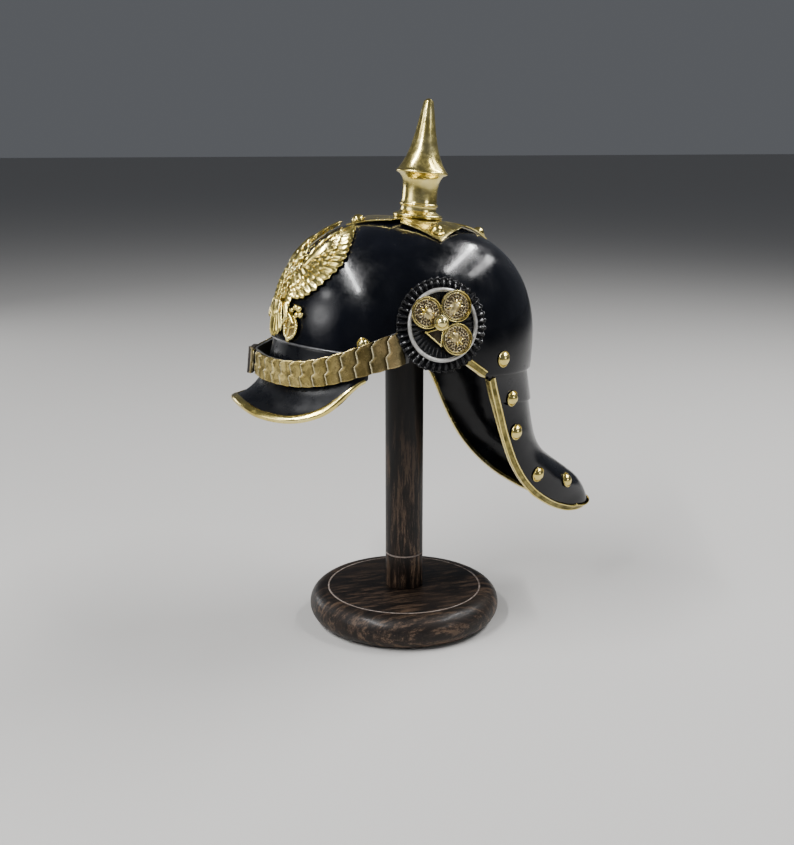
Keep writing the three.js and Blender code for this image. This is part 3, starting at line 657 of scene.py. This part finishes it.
def make_shell():
    """The dome, the peak, and the rounded seam between them."""
    make("shell", sheet(180, 56, shell_point), [LACQUER], "lacquer", wall=SHELL_WALL, edge=0.5)
    peak = sheet(120, 28, lambda u, v: peak_point(mix(-PEAK_REACH, PEAK_REACH, u), v))
    make("front_peak", peak, [PEAK_LACQUER], "lacquer", wall=LEATHER, edge=0.4)
    bead = 1.05

    def seam(u, v):
        heading = mix(-57, 57, v)
        out = (dome_at(heading, 0, 1) - dome_at(heading, 0)).normalized()
        angle = 2 * pi * u
        return (dome_at(heading, RIM_FRONT - 0.7) + out * (0.9 + bead * cos(angle))
                + Vector((0, 0, bead * sin(angle))))

    make("peak_seam", sheet(10, 90, seam), [SEAM], "lacquer", extra=True)


def ridged_fold(width, flap, outer, inner, edge, ridge=0.72):
    """The section of an edging folded over a sheet, with two ridges and a channel outside."""
    top, bottom, out = outer + BRASS, -inner - BRASS, -edge - BRASS
    floor = top - 0.45
    return [(width, outer), *arc((width - ridge, top - 0.3), ridge, 0, 165, 5),
            (width - 2 * ridge - 0.3, floor), (out + 2 * ridge + 0.3, floor),
            *arc((out + ridge, top - 0.3), ridge, 15, 180, 5), (out, bottom + 0.5),
            (out + 0.5, bottom), (flap, bottom), (flap, -inner), (-edge, -inner), (-edge, outer)]


def rounded_fold(width, outer, inner, edge):
    """The section of a plain edging folded over a sheet: crowned outside, with a round fold."""
    top, bottom, out = outer + BRASS, -inner - BRASS, -edge - BRASS
    crown = [(mix(width, out + 1.1, i / 7), top - 0.25 + 0.55 * sin(pi * i / 7)) for i in range(8)]
    return [(width, outer), *crown, (out + 0.35, top - 0.75), (out, top - 1.5), (out, bottom + 0.6),
            (out + 0.6, bottom), (width, bottom), (width, -inner), (-edge, -inner), (-edge, outer)]


def ridged_edging(frames, *fold):
    """An edging with two ridges, and the toned slot for the channel between them."""
    section = ridged_fold(*fold)
    count = len(section)
    return swept(section, frames, lambda u, v: TONED if 6 / count < u < 9 / count else BRIGHT)


def make_peak_trim():
    end, count, frames = PEAK_REACH - 0.35, 90, []
    for i in range(count + 1):
        along = mix(-end, end, i / count)
        origin = peak_point(along, 1)
        length = (origin - peak_point(along, 0)).length
        inside = peak_point(along, 1 - 5 / length) - origin
        tangent = (peak_point(along + 0.05, 1) - peak_point(along - 0.05, 1)).normalized()
        outward = tangent.cross(inside).normalized()
        narrowed = mix(1, 0.55, smooth(abs(along), 4.5, 8))
        frames.append((origin, outward.cross(tangent) * narrowed, outward, 0))
    side = LEATHER / 2 + GAP
    section = rounded_fold(PEAK_TRIM_WIDTH, side, side, 2 * GAP)
    make("front_peak_trim", swept(section, frames), [POLISHED], "brass")


def make_neck():
    lame = sheet(72, 24, lambda u, v: neck_wall(mix(-0.45, NECK_SEAM, v), mix(-1, 1, u), 0))
    make("neck_lame", lame, [LACQUER], "lacquer", wall=PLATE, edge=0.35)

    def tail_point(u, v):
        station = mix(NECK_SEAM - 0.9, NECK_TIP, v)
        return neck_wall(station, mix(-1, 1, u), tuck(station))

    make("neck_tail", sheet(72, 90, tail_point), [LACQUER], "lacquer", wall=PLATE, edge=0.35)


def neck_wall(station, across, inset):
    return neck_point(station, across) - neck_normal(station, across) * (inset + PLATE / 2)


def straight_inward(station, across, along):
    """A short step over the guard's surface from its edge, square to the edge."""
    origin = neck_point(station, across)
    lead = 2.5

    def miss(step):
        return abs(step.length - lead) + 2 * abs(step.dot(along))

    reach = [neck_point(station - back * 0.05, across * share / 50) - origin
             for back in range(31) for share in range(51)]
    return min(reach, key=miss)


def make_neck_trim():
    stations = [mix(0.25, NECK_TIP, sin(pi / 2 * i / 40)) for i in range(41)]
    stops = [(s, -1) for s in stations] + [(s, 1) for s in stations[-2::-1]]
    points = [neck_point(s, a) for s, a in stops]
    frames = []
    for i, (station, across) in enumerate(stops):
        along = (points[min(i + 1, len(points) - 1)] - points[max(i - 1, 0)]).normalized()
        outward = straight_inward(station, across, along).cross(along).normalized()
        frames.append((points[i], along.cross(outward), outward, tuck(station)))
    edging = ridged_edging(frames, NECK_TRIM_WIDTH, 1.3, 0.6, PLATE + 0.5, 2 * GAP)
    make("neck_trim", edging, [POLISHED, CHANNEL], "brass")


def side_trim():
    frames = []
    for i in range(13):
        heading = mix(99.5, 109, i / 12)
        along = (rim_at(heading + 0.5) - rim_at(heading - 0.5)).normalized()
        outward = (dome_at(heading, 0, 1) - dome_at(heading, 0)).normalized()
        frames.append((rim_at(heading), outward.cross(along), outward, 0))
    return ridged_edging(frames, NECK_TRIM_WIDTH, NECK_TRIM_WIDTH, 1.5 * GAP,
                         SHELL_WALL + 3 * GAP, GAP)


# --- spike and studs


def make_spike():
    seat = 2.35
    profile = [  # radius, height over the crown
        (0, seat), (21.2, seat - 0.4), *arc((20.2, 3.6), 1.4, -20, 80, 6), (17.6, 6), (15.7, 7.6),
        (15.3, 9.6), (15.5, 11.2), *arc((15.4, 13), 1.25, -80, 80, 8), (15.3, 15.2), (15.1, 18),
        (15.1, 26), (15.6, 31.5), (16.8, 35.4), (19, 38.2), *arc((21, 40.6), 1.35, -75, 75, 8),
        (19.9, 44), (17.6, 47.6), (14.9, 53), (12.4, 60), (10.4, 67.6), (8.5, 76), (6.6, 87),
        (4.9, 96.5), (4.1, 100), *arc((0, 98.6), 3.6, 38, 90, 6),
    ]
    make("spike", at(turned(profile, 96), 0, 0, DOME_HEIGHT), [POLISHED], "brass")


def stud(radius, height):
    """A domed head on a thin collar."""
    foot = radius * 0.88
    crown = (height ** 2 + foot ** 2) / (2 * height)
    reach = degrees(asin(min(foot / crown, 1)))
    head = arc((0, height - crown), crown, 90 - reach, 90, 8)
    return turned([(0, 0), (radius, 0), (radius, 0.5), (radius * 0.93, 0.75), *head[:-1],
                   (0, height)], 32)


def crown_stud(x, y):
    point = on_crown(x, y, 0)
    normal = dome_normal(point)
    return moved(stud(6.3, 5), frame_on(point + normal * 2.35, normal, Vector((0, 1, 0))))


def dome_stud(heading, z, radius, height):
    normal = dome_normal(dome_at(heading, z))
    return moved(stud(radius, height), frame_on(dome_at(heading, z, GAP), normal))


def neck_stud(station, across):
    normal = neck_normal(station, across)
    inset = tuck(station) if station > NECK_SEAM else 0
    seat = neck_point(station, across) + normal * (1.5 * GAP - inset)
    return moved(stud(7, 4.5), frame_on(seat, normal))


PAIRED_STUDS = {  # the function that makes it, and what that takes
    "cross_stud": (crown_stud, 46.5, 0), "peak_stud": (dome_stud, 55.6, 17, 5, 3.6),
    "rivet_shell": (dome_stud, 119.6, 10, 7, 4.5), "rivet_lame": (neck_stud, 1.72, 0.8),
    "rivet_tail": (neck_stud, 4, 0.82), "rivet_flare": (neck_stud, 7.6, 0.78),
    "rivet_tip": (neck_stud, 9.2, 0.5),
}


def make_studs():
    for name, y in (("cross_stud_front", -53), ("cross_stud_rear", 58)):
        make(name, crown_stud(0, y), [POLISHED], "brass")
    for name, (build, *place) in PAIRED_STUDS.items():
        make_pair(name, lambda: build(*place), [POLISHED], "brass")


# --- cross plate

CROSS_SIDE, CROSS_FRONT, CROSS_REAR = 59, 64, 68
CROSS_SHOULDER = (34, 28)
CROSS_INNER = 23


def cross_top(x, y, lift):
    """The cross over a point in plan: each arm bends along its length alone."""
    share = smooth(abs(x) - abs(y), -12, 12)
    return on_crown(0, y, 0).lerp(on_crown(x, 0, 0), share).z + lift


def make_cross():
    reach, width = CROSS_SHOULDER
    quarter = [(reach, width), (CROSS_INNER, CROSS_INNER), (width, reach)]
    back = quarter[::-1]
    outline = [(CROSS_SIDE, 0), *quarter, (0, CROSS_REAR), *[(-x, y) for x, y in back],
               (-CROSS_SIDE, 0), *[(-x, -y) for x, y in quarter], (0, -CROSS_FRONT),
               *[(x, -y) for x, y in back]]
    bm = flat(outline)
    face, = bm.faces
    for inset, sunk in ((1.7, 0), (0.5, -0.35)):
        bmesh.ops.inset_region(bm, faces=[face], thickness=inset, depth=sunk, use_even_offset=True)
    in_cells(bm, 4)
    bent(bm, lambda x, y, z: Vector((x, y, cross_top(x, y, 1.75 + z))))
    make("cross_plate", bm, [POLISHED], "brass", wall=1.1, edge=0.25)


# --- eagle

# Half of the eagle in front elevation, from the head's top round to the tail, under the relief.
EAGLE_GROUND = (
    # x, z
    (0, 80), (6, 79), (8.5, 72), (9.5, 65), (16.5, 64), (17.5, 71), (15.6, 78), (14.6, 85),
    (15.4, 92), (17, 101), (21, 101), (30, 95), (37, 87), (42.5, 79), (43.5, 70), (41, 60),
    (36, 52), (30, 48), (21, 48.5), (18.5, 40), (20, 33), (26, 33), (31, 27), (29, 15), (20, 17),
    (9, 36), (8, 18), (5, 13), (0, 12),
)

# The wing's long feathers, from its top edge to its lowest: root and tip.
WING_LINE = (
    # root x, root z, tip x, tip z
    (19, 92, 14, 104), (19, 91, 20.5, 104), (19.5, 89, 29.5, 99.5), (19.5, 86, 37, 93.5),
    (19, 82, 44, 85.5), (19, 77, 49, 75.5), (18.5, 72, 47.6, 64.5), (17, 67, 42.6, 53.8),
    (14, 62, 34.6, 46), (12, 57, 25, 44.5), (10, 53, 18, 46),
)
WING_SPAN = len(WING_LINE) - 3


def leaf(root, tip, width, lift, crown=1.1, point=0.35, along=12, across=8, rib=0.5):
    """A feather or leaf laid on the dome's front: crowned, ribbed, and rising to its free tip."""
    root, tip = Vector(root), Vector(tip)
    axis = tip - root
    side = Vector((axis.y, -axis.x)).normalized()

    def place(u, v):
        shoulder = 1 - point
        if v < shoulder:
            half = mix(0.45, 1, sin(pi / 2 * v / shoulder))
        else:
            half = sqrt(max(1 - ((v - shoulder) / point) ** 2, 0))
        spread = 2 * u - 1
        spot = root + axis * v + side * spread * half * width / 2
        round_top = crown * (1 - spread ** 2) * min(half + 0.2, 1)
        stem = rib * max(1 - abs(spread) * 5, 0)
        return on_front(spot.x, spot.y, lift + round_top + stem + 0.5 * v)

    return sheet(across, along, place)


def ball(x, z, radius, lift, flat=0.7):
    """A small bead on the dome's front."""
    bm = bmesh.new()
    bmesh.ops.create_icosphere(bm, subdivisions=2, radius=radius)
    bmesh.ops.scale(bm, vec=(1, 1, flat), verts=bm.verts)
    point = on_front(x, z, lift)
    return moved(bm, frame_on(point, dome_normal(on_front(x, z, 0))))


def wing_row(hand, count, share, width, lift, start=0, **shape):
    """A row of feathers across the wing, cut off at a share of their full length."""
    row = []
    for i in range(count):
        rx, rz, tx, tz = row_at(WING_LINE, mix(start, WING_SPAN, i / (count - 1)))
        tip = (hand * mix(rx, tx, share), mix(rz, tz, share))
        row.append(leaf((hand * rx, rz), tip, width, lift + 0.25 * (i % 2), **shape))
    return row


def wing(hand):
    """One wing: long feathers, rows of coverts, a smooth shoulder and a dotted panel above it."""
    parts = wing_row(hand, 17, 1, 6.6, 1.5, point=0.13, crown=1, along=14, rib=0.35)
    parts += wing_row(hand, 15, 0.7, 5.2, 2.5, 1.2, point=0.22, crown=0.9, rib=0.3)
    parts += wing_row(hand, 12, 0.47, 4.6, 3.3, 1.6, point=0.3, crown=0.9, rib=0.3)
    parts.append(leaf((hand * 20, 68), (hand * 27, 92), 11.5, 3, crown=3.2, point=0.5, rib=0))
    border = ((18, 70), (16.6, 77), (15.6, 84), (16.4, 91), (17.6, 98), (19, 103.5))
    parts += [leaf((hand * ax, az), (hand * mix(ax, bx, 1.25), mix(az, bz, 1.25)), 2.8, 3.4,
                   along=6, across=6, point=0.5, rib=0, crown=1.2)
              for (ax, az), (bx, bz) in zip(border, border[1:])]
    parts += [ball(hand * (18.3 + 0.4 * row + 2.2 * i + 0.9 * (row % 2)),
                   100.2 - row * 2.1 - i * 1.7, 0.8, 3) for row in range(5) for i in range(6)]
    return parts


def body():
    """Breast and neck: overlapping short feathers on a rounded body."""
    def place(u, v):
        spread = 2 * u - 1
        z = mix(40, 76, v)
        half = 4.5 + 9 * sin(pi * clamp((74 - z) / 34)) ** 1.3
        return on_front(spread * half, z, 1.4 + 4.6 * (1 - spread ** 2))

    parts = [sheet(12, 16, place)]
    for row in range(7):
        z = 72 - row * 4.6
        half = 3.5 + 8 * sin(pi * (76 - z) / 36) ** 1.4
        count = 3 + round(half / 4.5) + row % 2
        for i in range(count):
            spread = (2 * i + 1) / count - 1
            x = spread * half
            parts.append(leaf((x, z + 1), (x * 1.06, z - 5.5), 5.4, 2.2 + 4.2 * (1 - spread ** 2),
                              along=6, across=6, crown=0.7, point=0.5, rib=0.35))
    return parts


def head():
    """The head in profile, turned to the wearer's left, with a hooked beak and a feathered neck."""
    parts = [leaf(root, tip, width, lift, crown, point, rib=0)
             for root, tip, width, lift, crown, point in (
                 ((0, 64), (1.5, 83), 13, 3.2, 3.4, 0.45),
                 ((-1, 79.5), (9.5, 78.5), 7, 3.8, 2.2, 0.6),
                 ((7, 79.5), (12.6, 73.4), 3.8, 4, 1.4, 0.8),
                 ((2, 76), (8.2, 73.6), 3.6, 3.8, 1, 0.7))]
    parts += [leaf((-2, z - 2.4), (x, z), 4.8, 3.6, along=7, across=6, point=0.6)
              for x, z in ((-8.5, 80.5), (-9.6, 76.2), (-9.8, 71.6), (-9, 67), (8.6, 67))]
    return [*parts, ball(3, 80, 1.1, 7)]


def leg(hand):
    """A feathered thigh, and a foot with hooked claws that holds a plain banded orb."""
    def orb(x, z):
        """A place on the orb, whose edge is 1 from its middle."""
        return hand * (28.3 + 7 * x), 20.6 + 9 * z

    parts = [leaf((hand * (12 + i * 0.8), 51 - i * 3.2), (hand * (22.5 - i * 0.3), 44.5 - i * 3.2),
                  6.4, 2.4 + 0.12 * i, along=7, across=6, point=0.45) for i in range(5)]
    parts.append(leaf((hand * 17.5, 40), (hand * 22.5, 27), 6, 3, crown=2.2, rib=0, point=0.3))
    parts.append(sheet(24, 4, lambda u, v: on_front(*orb(v * cos(2 * pi * u), v * sin(2 * pi * u)),
                                                    2.2), lambda u, v: TONED))
    parts += [ball(*orb(cos(i * pi / 12), sin(i * pi / 12)), 1.35, 2.9) for i in range(24)]
    parts += [leaf((hand * ax, az), (hand * bx, bz), 2.4, 2.9, crown=1.3, rib=0)
              for ax, az, bx, bz in ((21.8, 18.6, 34.8, 22.1), (26.8, 12.6, 28.8, 28.6))]
    parts += [ball(hand * x, z, size, 2.6) for x, z, size in (
        (26.6, 34.2, 2.3), (30.2, 37.2, 2.4), (34, 36.4, 2.6), (37, 32, 2.4), (33, 31.4, 2.1),
        (27.4, 10.2, 1.9))]
    parts += [leaf((hand * 25, 32), (hand * x, z), 3.2, 4.4, crown=1.4, rib=0, point=0.7, along=8,
                   across=6) for x, z in ((21, 22), (25, 25.5), (30.5, 27), (34.6, 24))]
    return parts


def tail():
    parts = [leaf((x * 0.2, 41), (x, z), width, 1.7 + 0.9 * (1 - abs(x) / 15), point=0.2)
             for x, z, width in ((15, 15.5, 6), (-15, 15.5, 6), (10.5, 12, 6.4), (-10.5, 12, 6.4),
                                 (5.4, 10, 6.6), (-5.4, 10, 6.6), (0, 9, 7))]
    parts += [leaf((x * 0.3, 42), (x * 0.8, z), 6, 3.2, along=8, across=6, point=0.4)
              for x, z in ((9, 27), (-9, 27), (4.5, 25), (-4.5, 25), (0, 24))]
    return parts


def make_eagle():
    ground = [*EAGLE_GROUND, *[(-x, z) for x, z in EAGLE_GROUND[-2:0:-1]]]
    bm = bent(in_cells(flat(ground), 3), lambda x, z, _: on_front(x, z, 1.2))
    parts = [bm, *body(), *head(), *tail(), *wing(1), *leg(1), *wing(-1), *leg(-1)]
    make("eagle_plate", gathered(parts), [POLISHED, TONED_BRASS], "brass", wall=0.6)


# --- chin strap


def make_strap():
    """The band, and on the wearer's right its doubled end, with a keeper loop and a buckle."""
    def band(start, end, low, high, offset, across=24, along=4):
        return sheet(across, along, lambda u, v: strap_point(mix(start, end, u), mix(low, high, v),
                                                             offset))

    make("chin_strap", band(-STRAP_END, STRAP_END, -1, 1, LEATHER / 2, 150, 6), [STRAP_LEATHER],
         "strap_leather", wall=LEATHER, edge=0.5)
    make("strap_double", band(-4, -23, -1.04, 1.04, LEATHER + 2.6), [DARK_LEATHER],
         "strap_leather", extra=True, wall=4.6, edge=0.5)
    make("strap_keeper", band(-5.5, -9.5, -1.16, 1.16, LEATHER + 3.4), [DARK_LEATHER],
         "strap_leather", extra=True, wall=5, edge=0.5)
    bars = [band(-2.4, -3.2, -1.12, 1.12, LEATHER + 4), band(-2.4, -5, 1, 1.14, LEATHER + 4.2),
            band(-2.4, -5, -1.14, -1, LEATHER + 4.2)]
    make("strap_buckle", gathered(bars), [TONED_BRASS], "aged_brass", extra=True, wall=1.4,
         edge=0.4)


def scale(start, end):
    """One scale, between two headings. Its free edge has two slanting lobes, and rises over the
    next scale."""
    offset, under, lobe = LEATHER + GAP, 3.4, 3.8
    length = (strap_point(end, 0, offset) - strap_point(start, 0, offset)).length
    turn = (end - start) / length

    def place(u, v):
        spread = 2 * v - 1
        tooth = spread if spread > 0 else spread + 1
        reach = (mix(-under, length - 1.4, u)
                 + lobe * tooth ** 1.3 * (1 - smooth(tooth, 0.7, 1)))
        along = (reach + under) / (length + 4)
        level = spread * (0.96 + 0.07 * sin(pi * u)) - 0.01
        lift = 0.3 + 1.6 * along + 0.5 * smooth(u, 0.78, 1)
        return strap_point(start + turn * reach, level, offset + lift)

    return sheet(16, 32, place)


def chin_scales():
    turns = [mix(SCALE_LAST, SCALE_FIRST, i / SCALE_COUNT) for i in range(SCALE_COUNT + 1)]
    return gathered([scale(a, b) for a, b in zip(turns, turns[1:])])


# --- cockade and trefoil

COCKADE_NORMAL = toward(COCKADE_HEADING, COCKADE_LEAN)


def on_cockade(bm, height):
    return moved(bm, frame_on(COCKADE_CENTRE + COCKADE_NORMAL * height, COCKADE_NORMAL))


def cockade():
    """The pleated disc: rounded pleats that rise beside the ring and end in a small outer roll."""
    hub = COCKADE_CENTRE.x - dome_at(90, COCKADE_CENTRE.z).x - 1.2
    rim = COCKADE_RADIUS
    section = [(0, -hub), (8, -hub), (8, 0), (20, 0.2), (30, 0.5), (rim - 1.2, 0.7),
               (rim - 0.2, 1.3), (rim, 2.1), (rim - 0.5, 2.9), (rim - 1.2, 3.1),
               (rim - 1.9, 2.8), (rim - 2.6, 2.9), (rim - 3.6, 3.7), (rim - 5, 4.3),
               (rim - 6.8, 4.5), (30, 4.2), (27, 3.9), (23.5, 3.5), (21.5, 3.1), (20, 2.9),
               (0, 2.9)]
    last = len(section) - 1

    def place(u, v):
        radius, height = section[round(v * last)]
        fold = abs(cos(PLEATS * pi * u)) ** 1.7
        depth = mix(smooth(radius, 19, 26) * 0.4, 1, smooth(radius, 26, 31)) if height > 1 else 0
        drawn = 1 - 0.03 * (1 - fold) * smooth(radius, 30, rim)
        angle = 2 * pi * u
        return Vector((radius * drawn * cos(angle), radius * drawn * sin(angle),
                       height - 2.6 * depth * (1 - fold)))

    return on_cockade(sheet(PLEATS * 8, last, place), 0)


def cockade_ring():
    """A half-round ring with a fine step on each side."""
    middle, half = (RING_OUTER + RING_INNER) / 2, (RING_OUTER - RING_INNER) / 2
    section = [(RING_OUTER, 0), (RING_OUTER, 0.5), *arc((middle, 0.5), half - 0.3, 0, 180, 8),
               (RING_INNER, 0.5), (RING_INNER, 0), (RING_OUTER, 0)]
    return on_cockade(turned(section, 96), COCKADE_THICKNESS + GAP)


TREFOIL_SEAT = COCKADE_THICKNESS + 1.4 + 2 * GAP


def on_lobes(build, *others):
    """The parts of build(inward) set on every lobe, with any others. Inward is the angle from the
    lobe's middle to the boss."""
    parts = [at(part, x, y) for x, y in LOBES for part in build(atan2(BOSS[1] - y, BOSS[0] - x))]
    return on_cockade(gathered([*parts, *others]), TREFOIL_SEAT)


def trefoil():
    """Three round lobes with doubled rims, the plate under the boss, and the leaf."""
    rim = LOBE_RADIUS
    section = [(0, 0), (rim - 0.1, 0), (rim, 0.2), (rim, 1.7), (rim - 1.3, 1.7), (rim - 1.35, 0.9),
               (rim - 1.75, 0.9), (rim - 1.8, 1.3), (0, 1.3)]
    seat = at(turned([(0, 0), (6.4, 0), (5.8, 2.2), (0, 2.6)], 24), *BOSS)
    return on_lobes(lambda _: [turned(section, 48)], seat, leaf_frame())


def leaf_frame():
    """The small leaf: a three-cornered plate with a raised border and a sunk floor painted dark as
    shade.
    """
    border, floor = 1, 2  # material slots
    bm = flat(LEAF)
    raised = bmesh.ops.extrude_face_region(bm, geom=bm.faces[:])["geom"]
    top = [item for item in raised if isinstance(item, bmesh.types.BMFace)]
    bmesh.ops.translate(bm, vec=(0, 0, 2), verts=top[0].verts)
    for side in bmesh.ops.inset_region(bm, faces=top, thickness=0.95, depth=0)["faces"]:
        side.material_index = border
    bmesh.ops.inset_region(bm, faces=top, thickness=0.4, depth=0)
    # The sunk floor takes the third slot, a dark paint that stands for shade.
    top[0].material_index = floor
    bmesh.ops.translate(bm, vec=(0, 0, -1.1), verts=top[0].verts)
    return closed(bm)


def piercings():
    """The dark ring in each rim's sunk channel, and the rows of dark beads for the small piercings:
    painted shade in these hollows.
    """
    def build(inward):
        parts = [turned([(LOBE_RADIUS - 1.3, 0.95), (LOBE_RADIUS - 1.75, 0.95)], 48)]
        for radius, count, size, share in ((9.1, 20, 0.92, 0.8), (7.1, 15, 0.94, 0.74),
                                           (5.1, 9, 0.86, 0.6)):
            for i in range(count):
                angle = inward + pi * (1 + share * (2 * i / (count - 1) - 1))
                # Each piercing is a dark bead, painted shade where the opening is.
                hole = bmesh.new()
                bmesh.ops.create_icosphere(hole, subdivisions=1, radius=size)
                parts.append(at(hole, radius * cos(angle), radius * sin(angle), 1.15))
        return parts

    return on_lobes(build)


def lobe_wires():
    """The bright wires round each lobe, and along the leaf's edge."""
    rings = [[(radius + wire * cos(a * pi / 4), height + wire * sin(a * pi / 4)) for a in range(9)]
             for radius, height, wire in ((LOBE_RADIUS - 0.52, 2.1, 0.52),
                                          (LOBE_RADIUS - 2.15, 1.45, 0.34))]
    high, wire = Vector((0, 0, 2)), Vector((0, 0, 0.6))

    def bar(start, end):
        a, b = Vector((*start, 0)) + high, Vector((*end, 0)) + high
        inward = wire.cross((b - a).normalized())
        return sheet(2, 6, lambda u, v: a.lerp(b, u) + inward * (1 - cos(pi * v))
                     + wire * sin(pi * v))

    bars = [bar(a, b) for a, b in zip(LEAF, (*LEAF[1:], LEAF[0]))]
    return on_lobes(lambda _: [turned(ring, 48) for ring in rings], *bars)


def crowns():
    """The leaves of the crown over each heart, and the heart's two ribs."""
    return on_lobes(lambda inward: [petal(inward + pi + radians(swing), length, 2.5, 2, 0.6)
                                    for swing, length in ((-44, 5.6), (0, 6.4), (44, 5.6))]
                    + [petal(inward + radians(swing), 8.4, 1.3, 1.4, 0.8) for swing in (-30, 30)])


def hearts():
    """The low heart under each crown."""
    return on_lobes(lambda inward: [petal(inward, 11.5, 8, 1.7, -3.8)])


def petal(turn, length, width, crown, start):
    """A raised petal from near the lobe's middle outwards, turned to an angle."""
    def place(u, v):
        spread = 2 * u - 1
        half = sin(pi * clamp(v, 0.02, 0.98)) ** 0.7 * width / 2
        rise = crown * (1 - spread ** 2) * sin(pi * v) ** 0.5
        return Vector((length * v + start, spread * half, 1.25 + rise))

    return moved(sheet(6, 10, place), Matrix.Rotation(turn, 4, "Z"))


def boss():
    profile = [(0, 0), (6.3, 0), (6.3, 0.9), (5.4, 1.3), (4.6, 1.4), (4.6, 2.2),
               *arc((0, 1.2), 4.7, 16, 90, 10)]
    return on_cockade(at(turned(profile, 40), *BOSS), TREFOIL_SEAT + 3.1 + GAP)


# --- scene

HELMET_MIDDLE = Vector((0, 0, 0.32))
LAMP_DISTANCE = 2.2
CAMERA_PLACE = Vector((944.63, -350.82, 432.61)) * MM
CAMERA_AZIMUTH, CAMERA_PITCH = 70, 13.8
FOCAL_LENGTH = 48.99  # millimetres on a 36 mm sensor


def make_camera():
    lens = given(bpy.data.cameras.new("camera"), lens=FOCAL_LENGTH, sensor_width=36)
    facing = toward(CAMERA_AZIMUTH, CAMERA_PITCH).to_track_quat("Z", "Y")
    bpy.context.scene.camera = placed("camera", lens, location=CAMERA_PLACE,
                                      rotation_mode="QUATERNION", rotation_quaternion=facing)


def make_studio():
    bm = bmesh.new()
    bmesh.ops.create_grid(bm, x_segments=1, y_segments=1, size=30)
    paint = Finish("pale floor", roughness=0.85, Base_Color=(0.5, 0.49, 0.475, 1))
    stood("floor", at(bm, 0, 0, cad_low.z), [paint.material])
    world = bpy.data.worlds.new("studio")
    world.use_nodes = True
    backdrop = world.node_tree.nodes["Background"]
    backdrop.inputs["Color"].default_value = (0.8, 0.84, 0.92, 1)
    backdrop.inputs["Strength"].default_value = 0.13
    bpy.context.scene.world = world
    light("front strip", (-12, 57), (41, 34), 0.08, 50, distance=2)
    light("rear strip", (211, 38), (132, 47), 0.08, 44, distance=2)
    light("low rear strip", (203, 30), (150, 37), 0.15, 13)
    light("rear side box", (116, 13), (131, 13), 0.45, 6)
    light("far side box", (-46, 6), (-70, 7), 0.5, 9, "ELLIPSE")
    # Two nests of ovals in front, which together fade towards their edge.
    for i, (spread, power) in enumerate(((1, 1.7), (1.4, 2.2), (1.9, 2.6), (2.5, 2.6))):
        for name, azimuth, elevation, width, height, share in (
                ("front box", 7, 13, 0.62, 0.34, 1), ("upper front box", 6, 27, 0.36, 0.16, 1 / 3)):
            half = degrees(spread * width / 2 / LAMP_DISTANCE)
            light(f"{name} {i + 1}", (azimuth - half, elevation), (azimuth + half, elevation),
                  spread * height, power * share, "ELLIPSE")


def light(name, start, end, width, power, shape="RECTANGLE", distance=LAMP_DISTANCE):
    """A long soft box between two directions, by its width and distance in metres."""
    a, b = toward(*start) * distance, toward(*end) * distance
    x = (b - a).normalized()
    y = (a + b).cross(x).normalized()
    facing = Matrix((x, y, x.cross(y))).transposed().to_quaternion()
    lamp = given(bpy.data.lights.new(name, "AREA"), shape=shape, size=(b - a).length, size_y=width,
                 energy=power)
    placed(name, lamp, location=(a + b) / 2 + HELMET_MIDDLE, rotation_mode="QUATERNION",
           rotation_quaternion=facing)


def main():
    make_camera()
    make_studio()
    make_stand()
    make_shell()
    make_peak_trim()
    make_neck()
    make_neck_trim()
    make_pair("side_trim", side_trim, [POLISHED, CHANNEL], "brass")
    make_spike()
    make_cross()
    make_eagle()
    make_studs()
    make_strap()
    make_pair("chin_scales", chin_scales, [SCALE_BRASS], "aged_brass", wall=0.5)
    make_pair("cockade", cockade, [PLEAT_BLACK], "cockade_black")
    make_pair("cockade_ring", cockade_ring, [SILVER], "white_metal")
    make_pair("trefoil", trefoil, [FILIGREE, POLISHED, HOLLOW_SHADE], "aged_brass")
    for name, build, finish in (("wires", lobe_wires, POLISHED), ("piercings", piercings, HOLLOW_SHADE),
                                ("hearts", hearts, TONED_BRASS), ("crowns", crowns, POLISHED)):
        make_pair(f"trefoil_{name}", build, [finish], "aged_brass", extra=True)
    make_pair("trefoil_boss", boss, [POLISHED], "aged_brass")


main()
